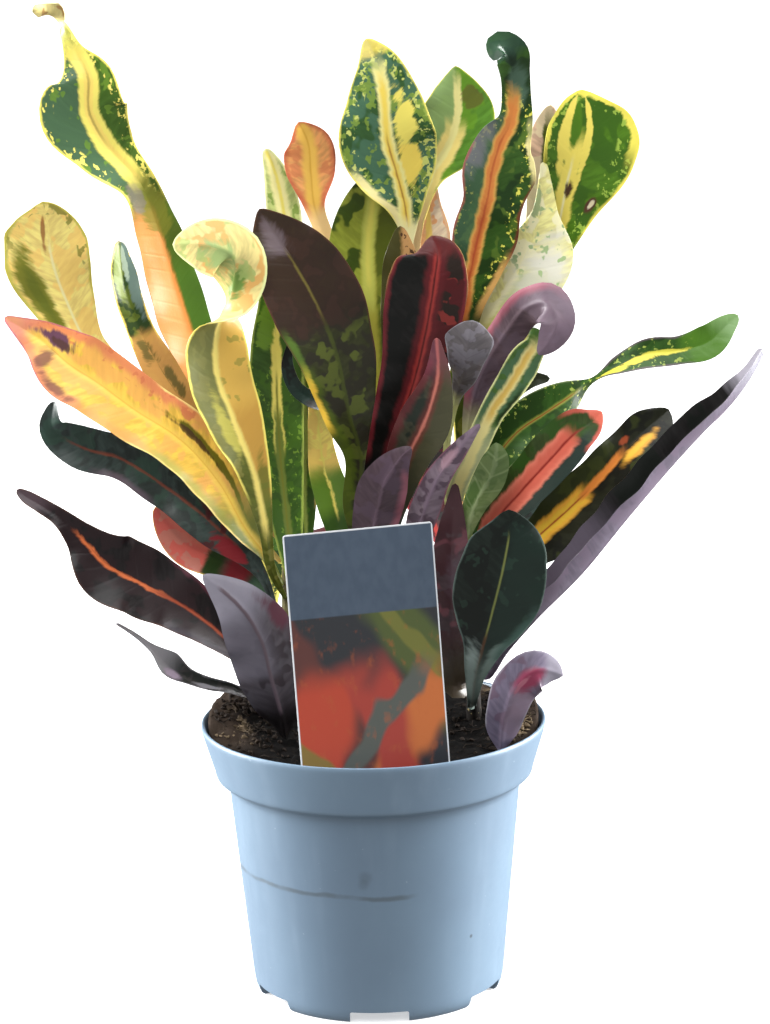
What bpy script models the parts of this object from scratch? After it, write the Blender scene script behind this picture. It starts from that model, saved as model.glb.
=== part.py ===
"""Potted croton: a nursery pot of soil with three leafy stems and a plant label.

Lengths in the tables are millimetres. The scene is metres, +Z up, and the origin is on the
pot's axis where the pot stands. The plant's front, with the label, faces -Y.
"""

import math

import bmesh
import bpy
import numpy as np
from mathutils import Matrix, Vector

MM = 0.001
GAP = 0.3

# Pot
POT_HEIGHT = 104.5
RIM_RADIUS = 65.0
WALL_TOP_RADIUS = 55.1
BASE_RADIUS = 47.3
WALL = 1.4
COLLAR_BOTTOM = 84.0
FLOOR_UNDERSIDE = 5.0
PAD_RADIUS = 15.0
TURNED_STEPS = 48
NOTCHES = 6
NOTCH_WIDTH = 22.0
NOTCH_HEIGHT = 4.5
DRAINS = 6
DRAIN_RADIUS = 4.0
DRAIN_CIRCLE = 30.0

# Soil
SOIL_LEVEL = 100.5
SOIL_RINGS = 8

# Label
LABEL_WIDTH = 54.5
LABEL_HEIGHT = 92.0
LABEL_THICKNESS = 0.6
STAKE_WIDTH = 16.0
STAKE_LENGTH = 17.0
SHOULDER = 6.0
LABEL_FOOT = (1.0, -50.5, 97.0)
LABEL_TILT = 2.6
LABEL_YAW = 7.0
LABEL_LEAN = 4.5

# Stems: bottom and top radius, then the points that each passes through
STEM_BOTTOM = 72.0
STEM_RADII = (3.2, 2.3)
STEMS = {
    "stem_left": [(-32, 6, STEM_BOTTOM), (-32, 6, 105), (-31, 7, 150), (-30, 8, 186)],
    "stem_centre": [(0, 14, STEM_BOTTOM), (0, 14, 110), (2, 14, 160), (4, 15, 212)],
    "stem_right": [(38, 0, STEM_BOTTOM), (38, 0, 110), (35, 3, 155), (33, 6, 196)],
}

# Leaves
LEAF_THICKNESS = 0.7
LEAF_GAP = 0.58
LEAF_ROW = 10.0
LEAF_COLUMNS = 2
LEAST_HALF_WIDTH = 0.8

FRONT = (0.0, -0.974, 0.227)
UP = (0.0, 0.0, 1.0)

# Each leaf: where its stalk starts, then the points of its midrib from stalk to tip, each with
# the half width of the blade there and how far the blade is turned about the midrib, in degrees.
# A stalk starts on a stem at a height, or on the soil at x and y. The blade's upper side looks
# along `face` at no turn. `cup` lifts the edges, and `lean` widens the side that turns last.
LEAVES = {
    # left stem
    "leaf_tall_left": dict(
        start=("stem_left", 180),
        rib=[(-40, 14, 199, 3.5, 10), (-57, 18, 228, 8, 20), (-69, 18, 263, 11, 30),
             (-75, 10, 290, 9, 25), (-81, 3, 309, 6.8, 12), (-92, -3, 324, 11.5, 5),
             (-98, -4, 337, 16, 0), (-98, -3, 349, 10.5, 0), (-103, 0, 359, 3.5, 0),
             (-106.5, 1, 366.5, 2.4, 40), (-111, -6, 373, 4.5, 140), (-116, -12, 375, 1.5, 150)],
        lean=-0.12, tint=(0.35, 0.40, 0.10)),
    "leaf_round_left": dict(
        start=("stem_left", 164),
        rib=[(-45, 12, 177, 2, 10), (-67, 15, 205, 4, 10), (-95, 17, 240, 4, 10),
             (-103, 18, 247, 6.8, 10), (-111, 18, 264, 12, 5), (-115, 17, 277, 15.6, 0),
             (-116.5, 17, 287, 15.8, 0), (-117, 17, 294, 13.2, 0), (-117.5, 17, 298.5, 9, 0),
             (-118, 17, 301, 3.6, 0)],
        lean=-0.1, tint=(0.80, 0.62, 0.22)),
    "leaf_long_orange": dict(
        start=("stem_left", 156),
        rib=[(-39, -1, 169, 2.2, 20), (-46, -7, 181, 5.5, 25), (-55, -13, 200, 10.5, 25),
             (-69, -18, 218, 12, 20), (-84, -20, 229, 12.5, 15), (-98, -20, 240, 13, 12),
             (-107, -19, 246, 13, 5), (-118, -15, 255, 7.5, 0), (-126, -13, 260, 3.5, 0),
             (-131, -12, 263, 1, 0)],
        tint=(0.80, 0.45, 0.15)),
    "leaf_small_olive": dict(
        start=("stem_left", 172),
        rib=[(-43, 4, 188, 2, 0), (-60, 0, 217, 3.2, 0), (-74, -2, 238, 6.5, 10),
             (-84, -4, 260, 5, 20), (-88, -6, 277, 5.5, 35), (-89, -4, 289, 2.2, 40)],
        tint=(0.20, 0.22, 0.06)),
    "leaf_curled_peach": dict(
        start=("stem_left", 151),
        rib=[(-37, -8, 167, 1.8, 0), (-38, -12, 180, 2.5, 0), (-42, -15, 204, 6.5, 20),
             (-49, -19, 226, 11.5, 25), (-54, -21, 243, 12.5, 25), (-54, -20.5, 254, 12, 32),
             (-52.5, -20, 261, 10.5, 58), (-50.5, -20.5, 265.5, 8.5, 98),
             (-48, -21.5, 270, 9.5, 140), (-46, -24, 277.5, 11, 165), (-47, -27, 287, 11, 180),
             (-57, -29, 291, 10, 190), (-68, -27, 291, 3.5, 190)],
        tint=(0.55, 0.50, 0.22)),
    "leaf_dark_left": dict(
        start=("stem_left", 138),
        rib=[(-41, 0, 162, 2.4, 15), (-57, 0, 180, 9, 20), (-75, -2, 196, 9, 20),
             (-92, -4, 208, 8, 10), (-106, -6, 213, 8, 0), (-116, -6, 221, 5, -20),
             (-115, -5, 230, 1.5, -30)],
        tint=(0.05, 0.10, 0.07)),
    "leaf_coral_left": dict(
        start=("stem_left", 130),
        rib=[(-45, 11, 157, 5, 10), (-58, 11, 165, 7.5, 10), (-69, 10, 171, 7.5, 0),
             (-76, 9, 179, 5, 0), (-80, 9, 186, 1.5, 0)],
        tint=(0.55, 0.16, 0.10)),
    "leaf_purple_left": dict(
        start=("stem_left", 113),
        rib=[(-47, -6, 130, 3, 20), (-59, -10, 144, 8.5, 25), (-71, -13, 154, 11.8, 25),
             (-85, -15, 162.5, 14, 25), (-98, -17, 171, 13, 15), (-106.5, -17, 181.5, 6, 5),
             (-113, -17, 188.5, 3.5, 0), (-121, -15, 193.5, 2.8, 0),
             (-126.5, -13, 196.5, 2.2, 0), (-129.5, -12, 198.5, 1, 0)],
        tint=(0.06, 0.03, 0.04)),
    "leaf_grey_front": dict(
        start=("soil", -33, -13),
        rib=[(-34, -22, 113, 7.5, 180), (-37, -28, 128, 12, 180), (-40.5, -32, 145, 13, 180),
             (-47, -34, 157, 10, 175), (-55.5, -32, 165, 5, 170), (-61, -30, 169, 1.1, 170)],
        tint=(0.25, 0.22, 0.28)),
    "leaf_rolled_left": dict(
        start=("stem_left", 110),
        rib=[(-48, 1, 115, 1.6, 10), (-54, -3, 118.5, 2, 10), (-61, -7, 121, 2.5, 20),
             (-69, -10, 125, 3.2, 25), (-76, -12, 130, 5, 30), (-82.5, -13, 137, 2.2, 50),
             (-88.5, -13, 142.5, 1.4, 60), (-95, -13, 147, 0.8, 70)],
        cup=0.5, tint=(0.12, 0.11, 0.11)),
    "leaf_green_stripe": dict(
        start=("stem_left", 140),
        rib=[(-29, 0, 157, 2.2, 0), (-30, 0, 176, 5.2, 0), (-32, 2, 200, 8.2, 0),
             (-33, 4, 227, 9.7, 0), (-33, 5, 249, 9, 0), (-34, 6, 264, 5, 0),
             (-36, 7, 277, 1.5, 0)],
        tint=(0.18, 0.30, 0.06)),
    "leaf_green_thin": dict(
        start=("stem_left", 156),
        rib=[(-25, 12, 166, 1.8, 0), (-24, 15, 190, 5, 0), (-23, 17, 217, 6, 0),
             (-24, 18, 240, 5.2, 0), (-25, 18, 255, 1.5, 0)],
        tint=(0.28, 0.38, 0.08)),
    "leaf_teal_hook": dict(
        start=("stem_centre", 162),
        rib=[(-2, 8, 178, 1.6, 0), (-2, 7, 196, 1.8, 0), (-4, 5, 212, 1.8, 0),
             (-9, 3, 220.5, 2.2, 0), (-15, 1, 225.5, 2.9, 0), (-20.5, -3, 228.5, 3, 0),
             (-26, -7, 234, 2.7, 0), (-28.5, -8, 241.5, 2.3, 0), (-27.5, -7, 250, 1, 0)],
        tint=(0.04, 0.12, 0.10)),
    # centre stem
    "leaf_yellow_small": dict(
        start=("stem_centre", 146),
        rib=[(-9, 14, 165, 3.2, 0), (-13, 11, 187, 6.8, 0), (-16, 10.5, 198, 6, 0),
             (-17.5, 10, 210, 4.6, 0), (-18.5, 10, 225, 3, 0), (-20, 11, 233, 1.1, 0)],
        tint=(0.60, 0.55, 0.06)),
    "leaf_pale_narrow": dict(
        start=("stem_centre", 186),
        rib=[(-4, 24, 200, 1.6, 0), (-13.5, 36, 223, 2.4, 0), (-23, 42, 247, 3.8, 0),
             (-29, 46, 273, 6.1, 0), (-30, 48, 293, 6.4, 0), (-33, 48, 307, 4.2, 0),
             (-36, 46, 315, 1.5, 0)],
        tint=(0.60, 0.66, 0.30)),
    "leaf_orange_small": dict(
        start=("stem_centre", 196),
        rib=[(-5, 20, 207, 1.6, 0), (-9, 30, 229, 2, 0), (-12, 37, 251, 3.2, 0),
             (-14, 40, 281, 3.2, 0), (-18, 40, 294, 4, 0), (-19, 40, 307, 9.2, 0),
             (-20, 38, 319, 8.2, 0), (-23, 36, 326, 2, 0)],
        tint=(0.85, 0.40, 0.15)),
    "leaf_dark_brown": dict(
        start=("stem_centre", 150),
        rib=[(-3, 6, 167, 2, 0), (-3.5, 0, 187, 6, 0), (-2.5, -4, 207, 6, 0),
             (-6, -9, 223, 9.5, 0), (-11, -13, 249, 14.6, 5), (-18, -16, 268, 17.1, 5),
             (-26, -16, 283, 14.5, 5), (-33, -14, 294, 8, 0), (-37, -13, 301, 1.4, 0)],
        tint=(0.05, 0.04, 0.02)),
    "leaf_olive": dict(
        start=("stem_centre", 176),
        rib=[(3, 23, 192, 2.5, 0), (3, 24, 211, 6, 0), (3, 28, 240, 10.5, 0),
             (2, 30, 263, 13.5, 0), (2, 32, 282, 14.3, 0), (4, 32, 295, 11.2, 0),
             (7, 30, 310, 3, 0)],
        tint=(0.16, 0.20, 0.03)),
    "leaf_broad_top": dict(
        start=("stem_centre", 204),
        rib=[(9, 18, 218, 1.5, 0), (13, 21, 240, 1.5, 0), (15.5, 23, 260, 1.6, 0),
             (17, 22, 283, 2, 0), (16, 20, 296, 7, 0), (13, 18, 309, 15, 0), (10, 16, 321, 18, 0),
             (9, 16, 336, 14, 0), (7, 18, 349, 8, 0), (3, 22, 358, 1.5, 0)],
        tint=(0.22, 0.32, 0.10)),
    "leaf_green_top": dict(
        start=("stem_centre", 192),
        rib=[(12, 22, 206, 1.5, 0), (16, 31, 232, 1.6, 0), (18.5, 37, 262, 2, 0),
             (21, 38, 290, 3, 0), (26, 38, 305, 5.3, 0), (33.5, 38, 317, 11.3, 0),
             (36.5, 38, 328, 14, 0), (36.5, 38, 338, 8.5, 0), (36, 38, 345.5, 1.2, 0)],
        tint=(0.25, 0.38, 0.06)),
    "leaf_orange_back": dict(
        start=("stem_centre", 170),
        rib=[(11, 23, 187, 1.6, 0), (15, 38, 216, 2, 0), (19, 50, 255, 5.3, 0),
             (25, 54, 278, 8.4, 0), (25, 56, 291, 5.3, 0), (27, 56, 300, 1.5, 0)],
        tint=(0.80, 0.50, 0.25)),
    "leaf_red_large": dict(
        start=("stem_centre", 154),
        rib=[(3, 3, 168, 2.2, 0), (6, -8, 195, 6.7, 0), (13, -16, 222, 9.5, 0),
             (20, -21, 246, 12, 0), (24, -24, 265, 14.5, 0), (26, -24, 277, 14, 0),
             (27, -22, 286, 9.5, 0), (25, -20, 291, 2.2, 0)],
        lean=-0.15, tint=(0.12, 0.02, 0.02)),
    "leaf_small_behind": dict(
        start=("stem_centre", 188),
        rib=[(6, 5, 205, 1.6, 0), (10, 4, 234, 3.7, 0), (13, 3, 264, 6.6, 0),
             (14, 3, 280, 6, 0), (14, 4, 291, 1.5, 0)],
        tint=(0.40, 0.26, 0.10)),
    "leaf_coral_rib": dict(
        start=("stem_centre", 144),
        rib=[(7, -5, 161, 1.6, 0), (8, -12, 176, 2, 0), (10, -19, 193, 5.1, 0),
             (15, -26, 211, 8, 0), (22, -32, 227, 9.4, 0), (26, -34, 242, 5, 0),
             (26, -34, 256, 1.1, 0)],
        tint=(0.20, 0.10, 0.10)),
    "leaf_pink_low": dict(
        start=("stem_centre", 138),
        rib=[(-2, -6, 155, 1.8, 180), (-2, -20, 171, 4.2, 180), (2.5, -28, 188, 8.6, 180),
             (7, -36, 205, 8, 180), (12, -38, 213, 4.3, 180), (16, -38, 217, 1.1, 180)],
        tint=(0.30, 0.15, 0.20)),
    "leaf_grey_narrow": dict(
        start=("stem_centre", 132),
        rib=[(9, 2, 148, 1.5, 180), (15, -12, 168, 3, 180), (20.5, -24, 190, 5.6, 180),
             (26, -29, 204, 4.6, 180), (33, -32, 214, 3.3, 180), (41, -34, 224, 0.8, 180)],
        tint=(0.28, 0.22, 0.28)),
    # right stem
    "leaf_hook_top": dict(
        start=("stem_right", 191),
        rib=[(35, 11, 202, 1.6, 0), (36, 9, 225, 2.5, 0), (36, 8, 244, 3.7, 0),
             (37, 7, 260, 6, 0), (40, 6, 275, 9.5, 0), (43, 5, 288, 12, 0), (46, 3, 300, 11, 0),
             (48, 2, 311, 13.5, 0), (51, 1, 321, 11, 0), (55.5, 0, 330, 6.4, 0),
             (56, 0, 339, 5.3, 0), (55.5, -2, 347, 5.4, 0), (54, -6, 354, 6.3, 0),
             (50.5, -11, 357, 4.5, 0), (48.5, -14, 353, 1.5, 0)],
        lean=0.2, tint=(0.10, 0.20, 0.08)),
    "leaf_round_right": dict(
        start=("stem_right", 172),
        rib=[(42, 15, 189, 1.6, 0), (46, 20, 208, 1.6, 0), (54, 24, 236, 2, 0),
             (64, 24, 259, 3, 0), (69, 22, 274, 4.5, 0), (73, 20, 288, 7.5, 0),
             (76, 18, 303, 13.3, 0), (79, 16, 316, 16.8, 0), (81, 16, 327, 16.2, 0),
             (81.5, 17, 334, 11.5, 0), (82, 18, 338, 3.5, 0)],
        lean=0.33, tint=(0.25, 0.38, 0.08)),
    "leaf_yellow_folded": dict(
        start=("stem_right", 182), lean=0.45,
        rib=[(34, 14, 199, 1.6, 0), (36, 15, 223, 2.2, 0), (42, 14, 249, 6.7, 0),
             (50, 13, 262, 10.5, 0), (57, 12, 273, 12.5, 0), (63, 12, 285, 11, 0),
             (65.5, 12, 294, 5, 0), (66.5, 13, 303, 2.8, 0), (67, 14, 312, 1.1, 0)],
        tint=(0.65, 0.60, 0.18)),
    "leaf_grey_tip": dict(
        start=("stem_right", 168),
        rib=[(29, -4, 195, 1.3, 180), (30, -8, 215, 1.4, 180), (33, -14, 230, 2, 180),
             (36, -24, 240, 5, 180), (37, -31, 249, 7.5, 180), (38, -33, 256, 8.8, 180),
             (39, -33, 262, 5, 180)],
        tint=(0.30, 0.27, 0.32)),
    "leaf_pink_edge": dict(
        start=("stem_right", 160),
        rib=[(38, -3, 190, 1.6, 180), (38.5, -6, 222, 3, 180), (44, -10, 240, 5.8, 180),
             (52, -15, 254, 6.6, 180), (60.5, -25, 265.5, 7, 180), (66.5, -31, 267, 7.4, 180),
             (69.5, -35, 261, 6.4, 180), (66.5, -36, 254.5, 4.6, 180),
             (62.5, -36, 249.5, 1.3, 180)],
        tint=(0.30, 0.20, 0.25)),
    "leaf_yellow_rib": dict(
        start=("stem_right", 150),
        rib=[(30, -8, 172, 1.3, 0), (33, -14, 196, 3.3, 0), (40, -16, 212, 4.4, 0),
             (46, -18, 225, 4.7, 0), (53, -20.5, 236, 5.8, 0), (58.5, -22, 245.5, 5.8, 0),
             (62, -23, 252, 3.8, 0), (61.5, -22.5, 257, 1.4, 0)],
        tint=(0.35, 0.42, 0.12)),
    "leaf_small_dark": dict(
        start=("stem_right", 184),
        rib=[(39, 5, 200, 1.3, 0), (44, 4, 216, 1.6, 0), (52, 2, 227, 3.3, 0), (60, 0, 233, 3.3, 0),
             (68, -2, 234, 1.1, 0)],
        tint=(0.05, 0.06, 0.03)),
    "leaf_olive_small": dict(
        start=("stem_right", 178),
        rib=[(34, 1, 194, 1.3, 0), (35, 2, 212, 2, 0), (37, 2, 226, 5, 0), (37, 2, 238, 5.5, 0),
             (38, 3, 247, 1.5, 0)],
        tint=(0.45, 0.30, 0.05)),
    "leaf_peach_behind": dict(
        start=("stem_right", 164),
        rib=[(41, 19, 182, 1.6, 0), (47, 28, 205, 1.6, 0), (56, 33, 240, 2, 0),
             (62, 34, 265, 2.5, 0), (66, 34, 290, 4.5, 0), (69, 33, 311, 6.5, 0),
             (70, 32, 323, 5.5, 0), (71, 31, 331, 1.5, 0)],
        tint=(0.60, 0.32, 0.16)),
    "leaf_pale_low": dict(
        start=("stem_right", 128),
        rib=[(32, -14, 153, 1.3, 180), (35, -20, 176, 1.4, 180), (39, -25, 192, 4.4, 180),
             (45, -28, 204, 5.8, 180), (47, -29, 211, 4.4, 180), (47, -29, 216, 1.5, 180)],
        tint=(0.30, 0.38, 0.20)),
    "leaf_crimson_upright": dict(
        start=("stem_right", 118),
        rib=[(32.5, -12, 119.5, 5, 0), (30.5, -17, 133, 7.4, 0), (30, -22, 154, 7.8, 0),
             (30, -24, 174, 6.8, 0), (31, -25, 188, 4.2, 0), (32, -24, 200, 1.1, 0)],
        tint=(0.12, 0.03, 0.05)),
    "leaf_long_right": dict(
        start=("stem_right", 164),
        rib=[(40, 1, 180, 1.6, 0), (46, -2, 201, 5.5, -10), (55, -5, 214, 8.6, -20),
             (66, -7, 222, 9.2, -20), (76, -9, 229, 6, -30), (84, -11, 235, 1.8, -60),
             (93, -11, 240, 3.8, -30), (103, -11, 244, 5.5, -10), (115, -10, 245, 5.2, 0),
             (126, -9, 248, 6.2, 0), (133, -8, 254, 3.8, 0), (137, -7, 257, 1.5, 0)],
        tint=(0.18, 0.30, 0.06)),
    "leaf_red_right": dict(
        start=("stem_right", 142),
        rib=[(41, -5, 164, 1.6, 0), (47, -10, 182, 6, -10), (56, -15, 194, 8.6, -20),
             (67, -19, 207, 9.6, -20), (76, -21, 217, 8.8, -20), (83, -21, 222, 5.2, -20),
             (86, -21, 225, 1.5, -20)],
        tint=(0.45, 0.08, 0.08)),
    "leaf_orange_rib": dict(
        start=("stem_right", 132), lean=0.25,
        rib=[(44, 0, 150, 1.6, 0), (53, -1, 165, 4.8, -10), (64, -2, 175, 9.5, -15),
             (76, -3, 186, 12.8, -20), (87, -3, 197, 11.5, -20), (97, -2, 208, 10, -20),
             (106, -1, 216, 8.6, -10), (112, 0, 221, 2.8, 0)],
        tint=(0.08, 0.09, 0.03)),
    "leaf_long_purple": dict(
        start=("stem_right", 122),
        rib=[(43, -10, 122, 1.6, 0), (50, -14, 133, 2.8, 5), (59, -19, 145, 4.4, 15),
             (78, -22, 165, 5.6, 20), (95, -23, 186, 5.6, 20), (110, -21, 203, 5.3, 20),
             (123, -19, 216.5, 5, 20), (133, -16, 225.5, 3.9, 15), (140, -14, 234, 2.5, 10),
             (146.5, -12, 245, 1.2, 0)],
        face=UP, cup=1.6, tint=(0.25, 0.20, 0.27)),
    "leaf_oval_front": dict(
        start=("stem_right", 110),
        rib=[(37, -12, 112, 1.6, 0), (37, -22, 117, 1.8, 0), (38, -28, 128, 3.7, 0),
             (41, -34, 141, 7.5, 0), (45, -38, 157, 15.3, 0), (49, -40, 174, 15.6, 0),
             (51, -39, 186, 11, 0), (51, -38, 193, 3, 0)],
        tint=(0.03, 0.06, 0.04)),
    "leaf_magenta_low": dict(
        start=("soil", 47, -31),
        rib=[(47.5, -33.5, 107, 5.6, 180), (49, -37.5, 117, 7.3, 180),
             (53.5, -40, 128, 8.2, 180), (60, -40, 133, 7.6, 180), (66, -38, 132, 5, 180),
             (70, -37, 130, 1.2, 180)],
        tint=(0.30, 0.12, 0.20)),
    # the plant's back
    "leaf_back_centre_top": dict(
        start=("stem_centre", 164), face=UP,
        rib=[(3, 32, 181, 2, 0), (4, 52, 209, 10, 0), (6, 70, 238, 13, 0), (8, 84, 259, 8, 0),
             (9, 92, 270, 1.5, 0)],
        tint=(0.25, 0.35, 0.08)),
    "leaf_back_right_low": dict(
        start=("stem_right", 128), face=UP,
        rib=[(47, 18, 146, 2, 0), (62, 46, 163, 10, 0), (76, 74, 171, 12, 0),
             (86, 94, 170, 8, 0), (91, 105, 165, 1.5, 0)],
        tint=(0.10, 0.12, 0.04)),
    "leaf_back_left_low": dict(
        start=("stem_left", 120), face=UP,
        rib=[(-38, 26, 138, 2, 0), (-43, 52, 150, 10, 0), (-50, 80, 160, 12, 0),
             (-55, 103, 162, 8, 0), (-57, 118, 159, 1.5, 0)],
        tint=(0.08, 0.10, 0.06)),
    "leaf_back_centre_low": dict(
        start=("stem_centre", 122), face=UP,
        rib=[(2, 32, 139, 2, 0), (4, 58, 149, 10, 0), (6, 84, 152, 12, 0),
             (8, 104, 148, 8, 0), (8, 116, 141, 1.5, 0)],
        tint=(0.20, 0.05, 0.05)),
    "leaf_back_right_mid": dict(
        start=("stem_right", 146), face=UP,
        rib=[(28, 26, 163, 2, 0), (21, 48, 180, 11, 0), (19, 72, 193, 12, 0),
             (20, 92, 198, 8, 0), (21, 103, 197, 1.5, 0)],
        tint=(0.30, 0.30, 0.06)),
    "leaf_back_left_mid": dict(
        start=("stem_left", 168), face=UP,
        rib=[(-30, 28, 187, 2, 0), (-29, 50, 206, 9, 0), (-28, 74, 221, 11, 0),
             (-29, 92, 228, 8, 0), (-30, 104, 229, 1.5, 0)],
        tint=(0.35, 0.38, 0.10)),
    "leaf_back_left_top": dict(
        start=("stem_centre", 168), face=UP,
        rib=[(-11, 24, 186, 2, 0), (-22, 42, 210, 8, 0), (-28, 57, 228, 10, 0),
             (-32, 69, 238, 7, 0), (-34, 77, 242, 1.5, 0)],
        tint=(0.45, 0.20, 0.08)),
    "leaf_back_right_top": dict(
        start=("stem_right", 158), face=UP,
        rib=[(36, 22, 177, 2, 0), (41, 42, 200, 8, 0), (45, 58, 219, 10, 0), (48, 70, 230, 7, 0),
             (50, 78, 234, 1.5, 0)],
        tint=(0.15, 0.25, 0.06)),
    "leaf_back_right_floor": dict(
        start=("stem_centre", 114), face=UP,
        rib=[(13, 32, 126, 2, 0), (28, 56, 137, 9, 0), (40, 78, 142, 11, 0),
             (48, 95, 139, 7, 0), (52, 106, 132, 1.5, 0)],
        tint=(0.06, 0.10, 0.06)),
    "leaf_back_left_floor": dict(
        start=("stem_centre", 130), face=UP,
        rib=[(-8, 30, 145, 2, 0), (-18, 56, 155, 9, 0), (-26, 80, 157, 11, 0),
             (-30, 98, 153, 7, 0), (-32, 110, 146, 1.5, 0)],
        tint=(0.12, 0.04, 0.06)),
}


# ---------------------------------------------------------------- collections and materials


def clear_scene():
    for obj in list(bpy.data.objects):
        bpy.data.objects.remove(obj, do_unlink=True)


def new_collection(name):
    collection = bpy.data.collections.new(name)
    bpy.context.scene.collection.children.link(collection)
    return collection


def new_material(name, colour, roughness):
    material = bpy.data.materials.new(name)
    material.use_nodes = True
    shader = material.node_tree.nodes["Principled BSDF"]
    shader.inputs["Base Color"].default_value = (*colour, 1.0)
    shader.inputs["Roughness"].default_value = roughness
    shader.inputs["Metallic"].default_value = 0.0
    return material


def new_object(name, data, collection, material=None):
    obj = bpy.data.objects.new(name, data)
    collection.objects.link(obj)
    if material:
        data.materials.append(material)
    return obj


def mesh_from(bm, name):
    mesh = bpy.data.meshes.new(name)
    bm.to_mesh(mesh)
    bm.free()
    return mesh


def applied(obj, name):
    """The object's evaluated mesh as a mesh of its own."""
    bpy.context.view_layer.update()
    graph = bpy.context.evaluated_depsgraph_get()
    mesh = bpy.data.meshes.new_from_object(obj.evaluated_get(graph))
    mesh.name = name
    return mesh


def cut(obj, cutter):
    cutter.hide_render = True
    cutter.display_type = "WIRE"
    boolean = obj.modifiers.new(cutter.name, "BOOLEAN")
    boolean.operation = "DIFFERENCE"
    boolean.solver = "EXACT"
    boolean.object = cutter


def turned(name, profile, collection, material):
    """A profile of (radius, height), down its outer side, turned about Z."""
    mesh = bpy.data.meshes.new(name)
    points = [(radius * MM, 0.0, height * MM) for radius, height in profile]
    mesh.from_pydata(points, [(i, i + 1) for i in range(len(points) - 1)], [])
    obj = new_object(name, mesh, collection, material)
    screw = obj.modifiers.new("Turn", "SCREW")
    screw.axis = "Z"
    screw.steps = TURNED_STEPS
    screw.render_steps = TURNED_STEPS
    screw.use_merge_vertices = True
    screw.merge_threshold = 0.00001
    screw.use_smooth_shade = True
    return obj


# ---------------------------------------------------------------- pot


def pot_profile():
    """The pot's section: inside from the centre out and up, over the lip, down and under."""
    floor = FLOOR_UNDERSIDE + WALL
    inside = [
        (0.0, WALL),
        (PAD_RADIUS - 1.5, WALL),
        (PAD_RADIUS + 0.5, floor),
        (BASE_RADIUS - WALL - 1.5, floor),
        (BASE_RADIUS - WALL + 0.4, floor + 2.0),
        (WALL_TOP_RADIUS - WALL, COLLAR_BOTTOM - 2.0),
        (WALL_TOP_RADIUS + 1.0, COLLAR_BOTTOM + 0.8),
        (WALL_TOP_RADIUS + 3.2, COLLAR_BOTTOM + 2.4),
        (RIM_RADIUS - WALL - 0.1, POT_HEIGHT - 1.0),
        (RIM_RADIUS - WALL + 0.3, POT_HEIGHT - 0.2),
    ]
    outside = [
        (RIM_RADIUS - 0.5, POT_HEIGHT),
        (RIM_RADIUS, POT_HEIGHT - 0.6),
        (RIM_RADIUS - 0.4, POT_HEIGHT - 3.0),
        (WALL_TOP_RADIUS + 5.0, COLLAR_BOTTOM + 2.0),
        (WALL_TOP_RADIUS + 4.0, COLLAR_BOTTOM + 0.4),
        (WALL_TOP_RADIUS + 1.4, COLLAR_BOTTOM - 0.8),
        (WALL_TOP_RADIUS + 0.3, COLLAR_BOTTOM - 2.2),
        (WALL_TOP_RADIUS - 0.2, COLLAR_BOTTOM - 4.2),
        (BASE_RADIUS + 0.5, 7.0),
        (BASE_RADIUS - 0.1, 3.2),
        (BASE_RADIUS - 0.9, 0.9),
        (BASE_RADIUS - 2.0, 0.0),
    ]
    under = [
        (BASE_RADIUS - 4.0, 0.0),
        (BASE_RADIUS - 4.8, FLOOR_UNDERSIDE),
        (PAD_RADIUS + 1.6, FLOOR_UNDERSIDE),
        (PAD_RADIUS, 0.0),
        (0.0, 0.0),
    ]
    return inside + outside + under


def notch_cutter(collection):
    bm = bmesh.new()
    for index in range(NOTCHES):
        turn = Matrix.Rotation(math.tau * index / NOTCHES, 4, "Z")
        place = Matrix.Translation((0.0, -BASE_RADIUS * MM, 0.0))
        size = Matrix.Diagonal((NOTCH_WIDTH * MM, 14.0 * MM, 2 * NOTCH_HEIGHT * MM, 1.0))
        bmesh.ops.create_cube(bm, size=1.0, matrix=turn @ place @ size)
    return new_object("notch_cutter", mesh_from(bm, "notch_cutter"), collection)


def drain_cutter(collection):
    bm = bmesh.new()
    for index in range(DRAINS):
        angle = math.tau * (index + 0.5) / DRAINS
        place = (
            DRAIN_CIRCLE * MM * math.cos(angle),
            DRAIN_CIRCLE * MM * math.sin(angle),
            (FLOOR_UNDERSIDE + WALL / 2) * MM,
        )
        bmesh.ops.create_cone(
            bm,
            cap_ends=True,
            segments=16,
            radius1=DRAIN_RADIUS * MM,
            radius2=DRAIN_RADIUS * MM,
            depth=3 * WALL * MM,
            matrix=Matrix.Translation(place),
        )
    return new_object("drain_cutter", mesh_from(bm, "drain_cutter"), collection)


def make_pot(parts, cutters):
    material = new_material("pot_plastic", (0.28, 0.37, 0.47), 0.45)
    pot = turned("pot", pot_profile(), parts, material)
    cut(pot, notch_cutter(cutters))
    cut(pot, drain_cutter(cutters))
    return pot


# ---------------------------------------------------------------- soil


def heap(x, y, centre, height, spread):
    square = (x - centre[0]) ** 2 + (y - centre[1]) ** 2
    return height * math.exp(-square / (2 * spread**2))


def soil_top(x, y):
    """Height of the soil's surface: low behind the label, heaped at the sides and the back."""
    height = SOIL_LEVEL + 0.05 * y
    height += heap(x, y, (-54, 20), 8.0, 19)
    height += heap(x, y, (56, 12), 7.5, 16)
    height += heap(x, y, (0, 46), 4.0, 24)
    height += 0.7 * math.sin(x / 5.0 + 1.0) * math.cos(y / 6.0)
    return height


def collar_inside(height):
    """Radius of the collar's inside, up to the lip."""
    low = (WALL_TOP_RADIUS + 3.2, COLLAR_BOTTOM + 2.4)
    high = (RIM_RADIUS - WALL - 0.1, POT_HEIGHT - 1.0)
    share = (height - low[1]) / (high[1] - low[1])
    return low[0] + (high[0] - low[0]) * min(share, 1.0)


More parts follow.
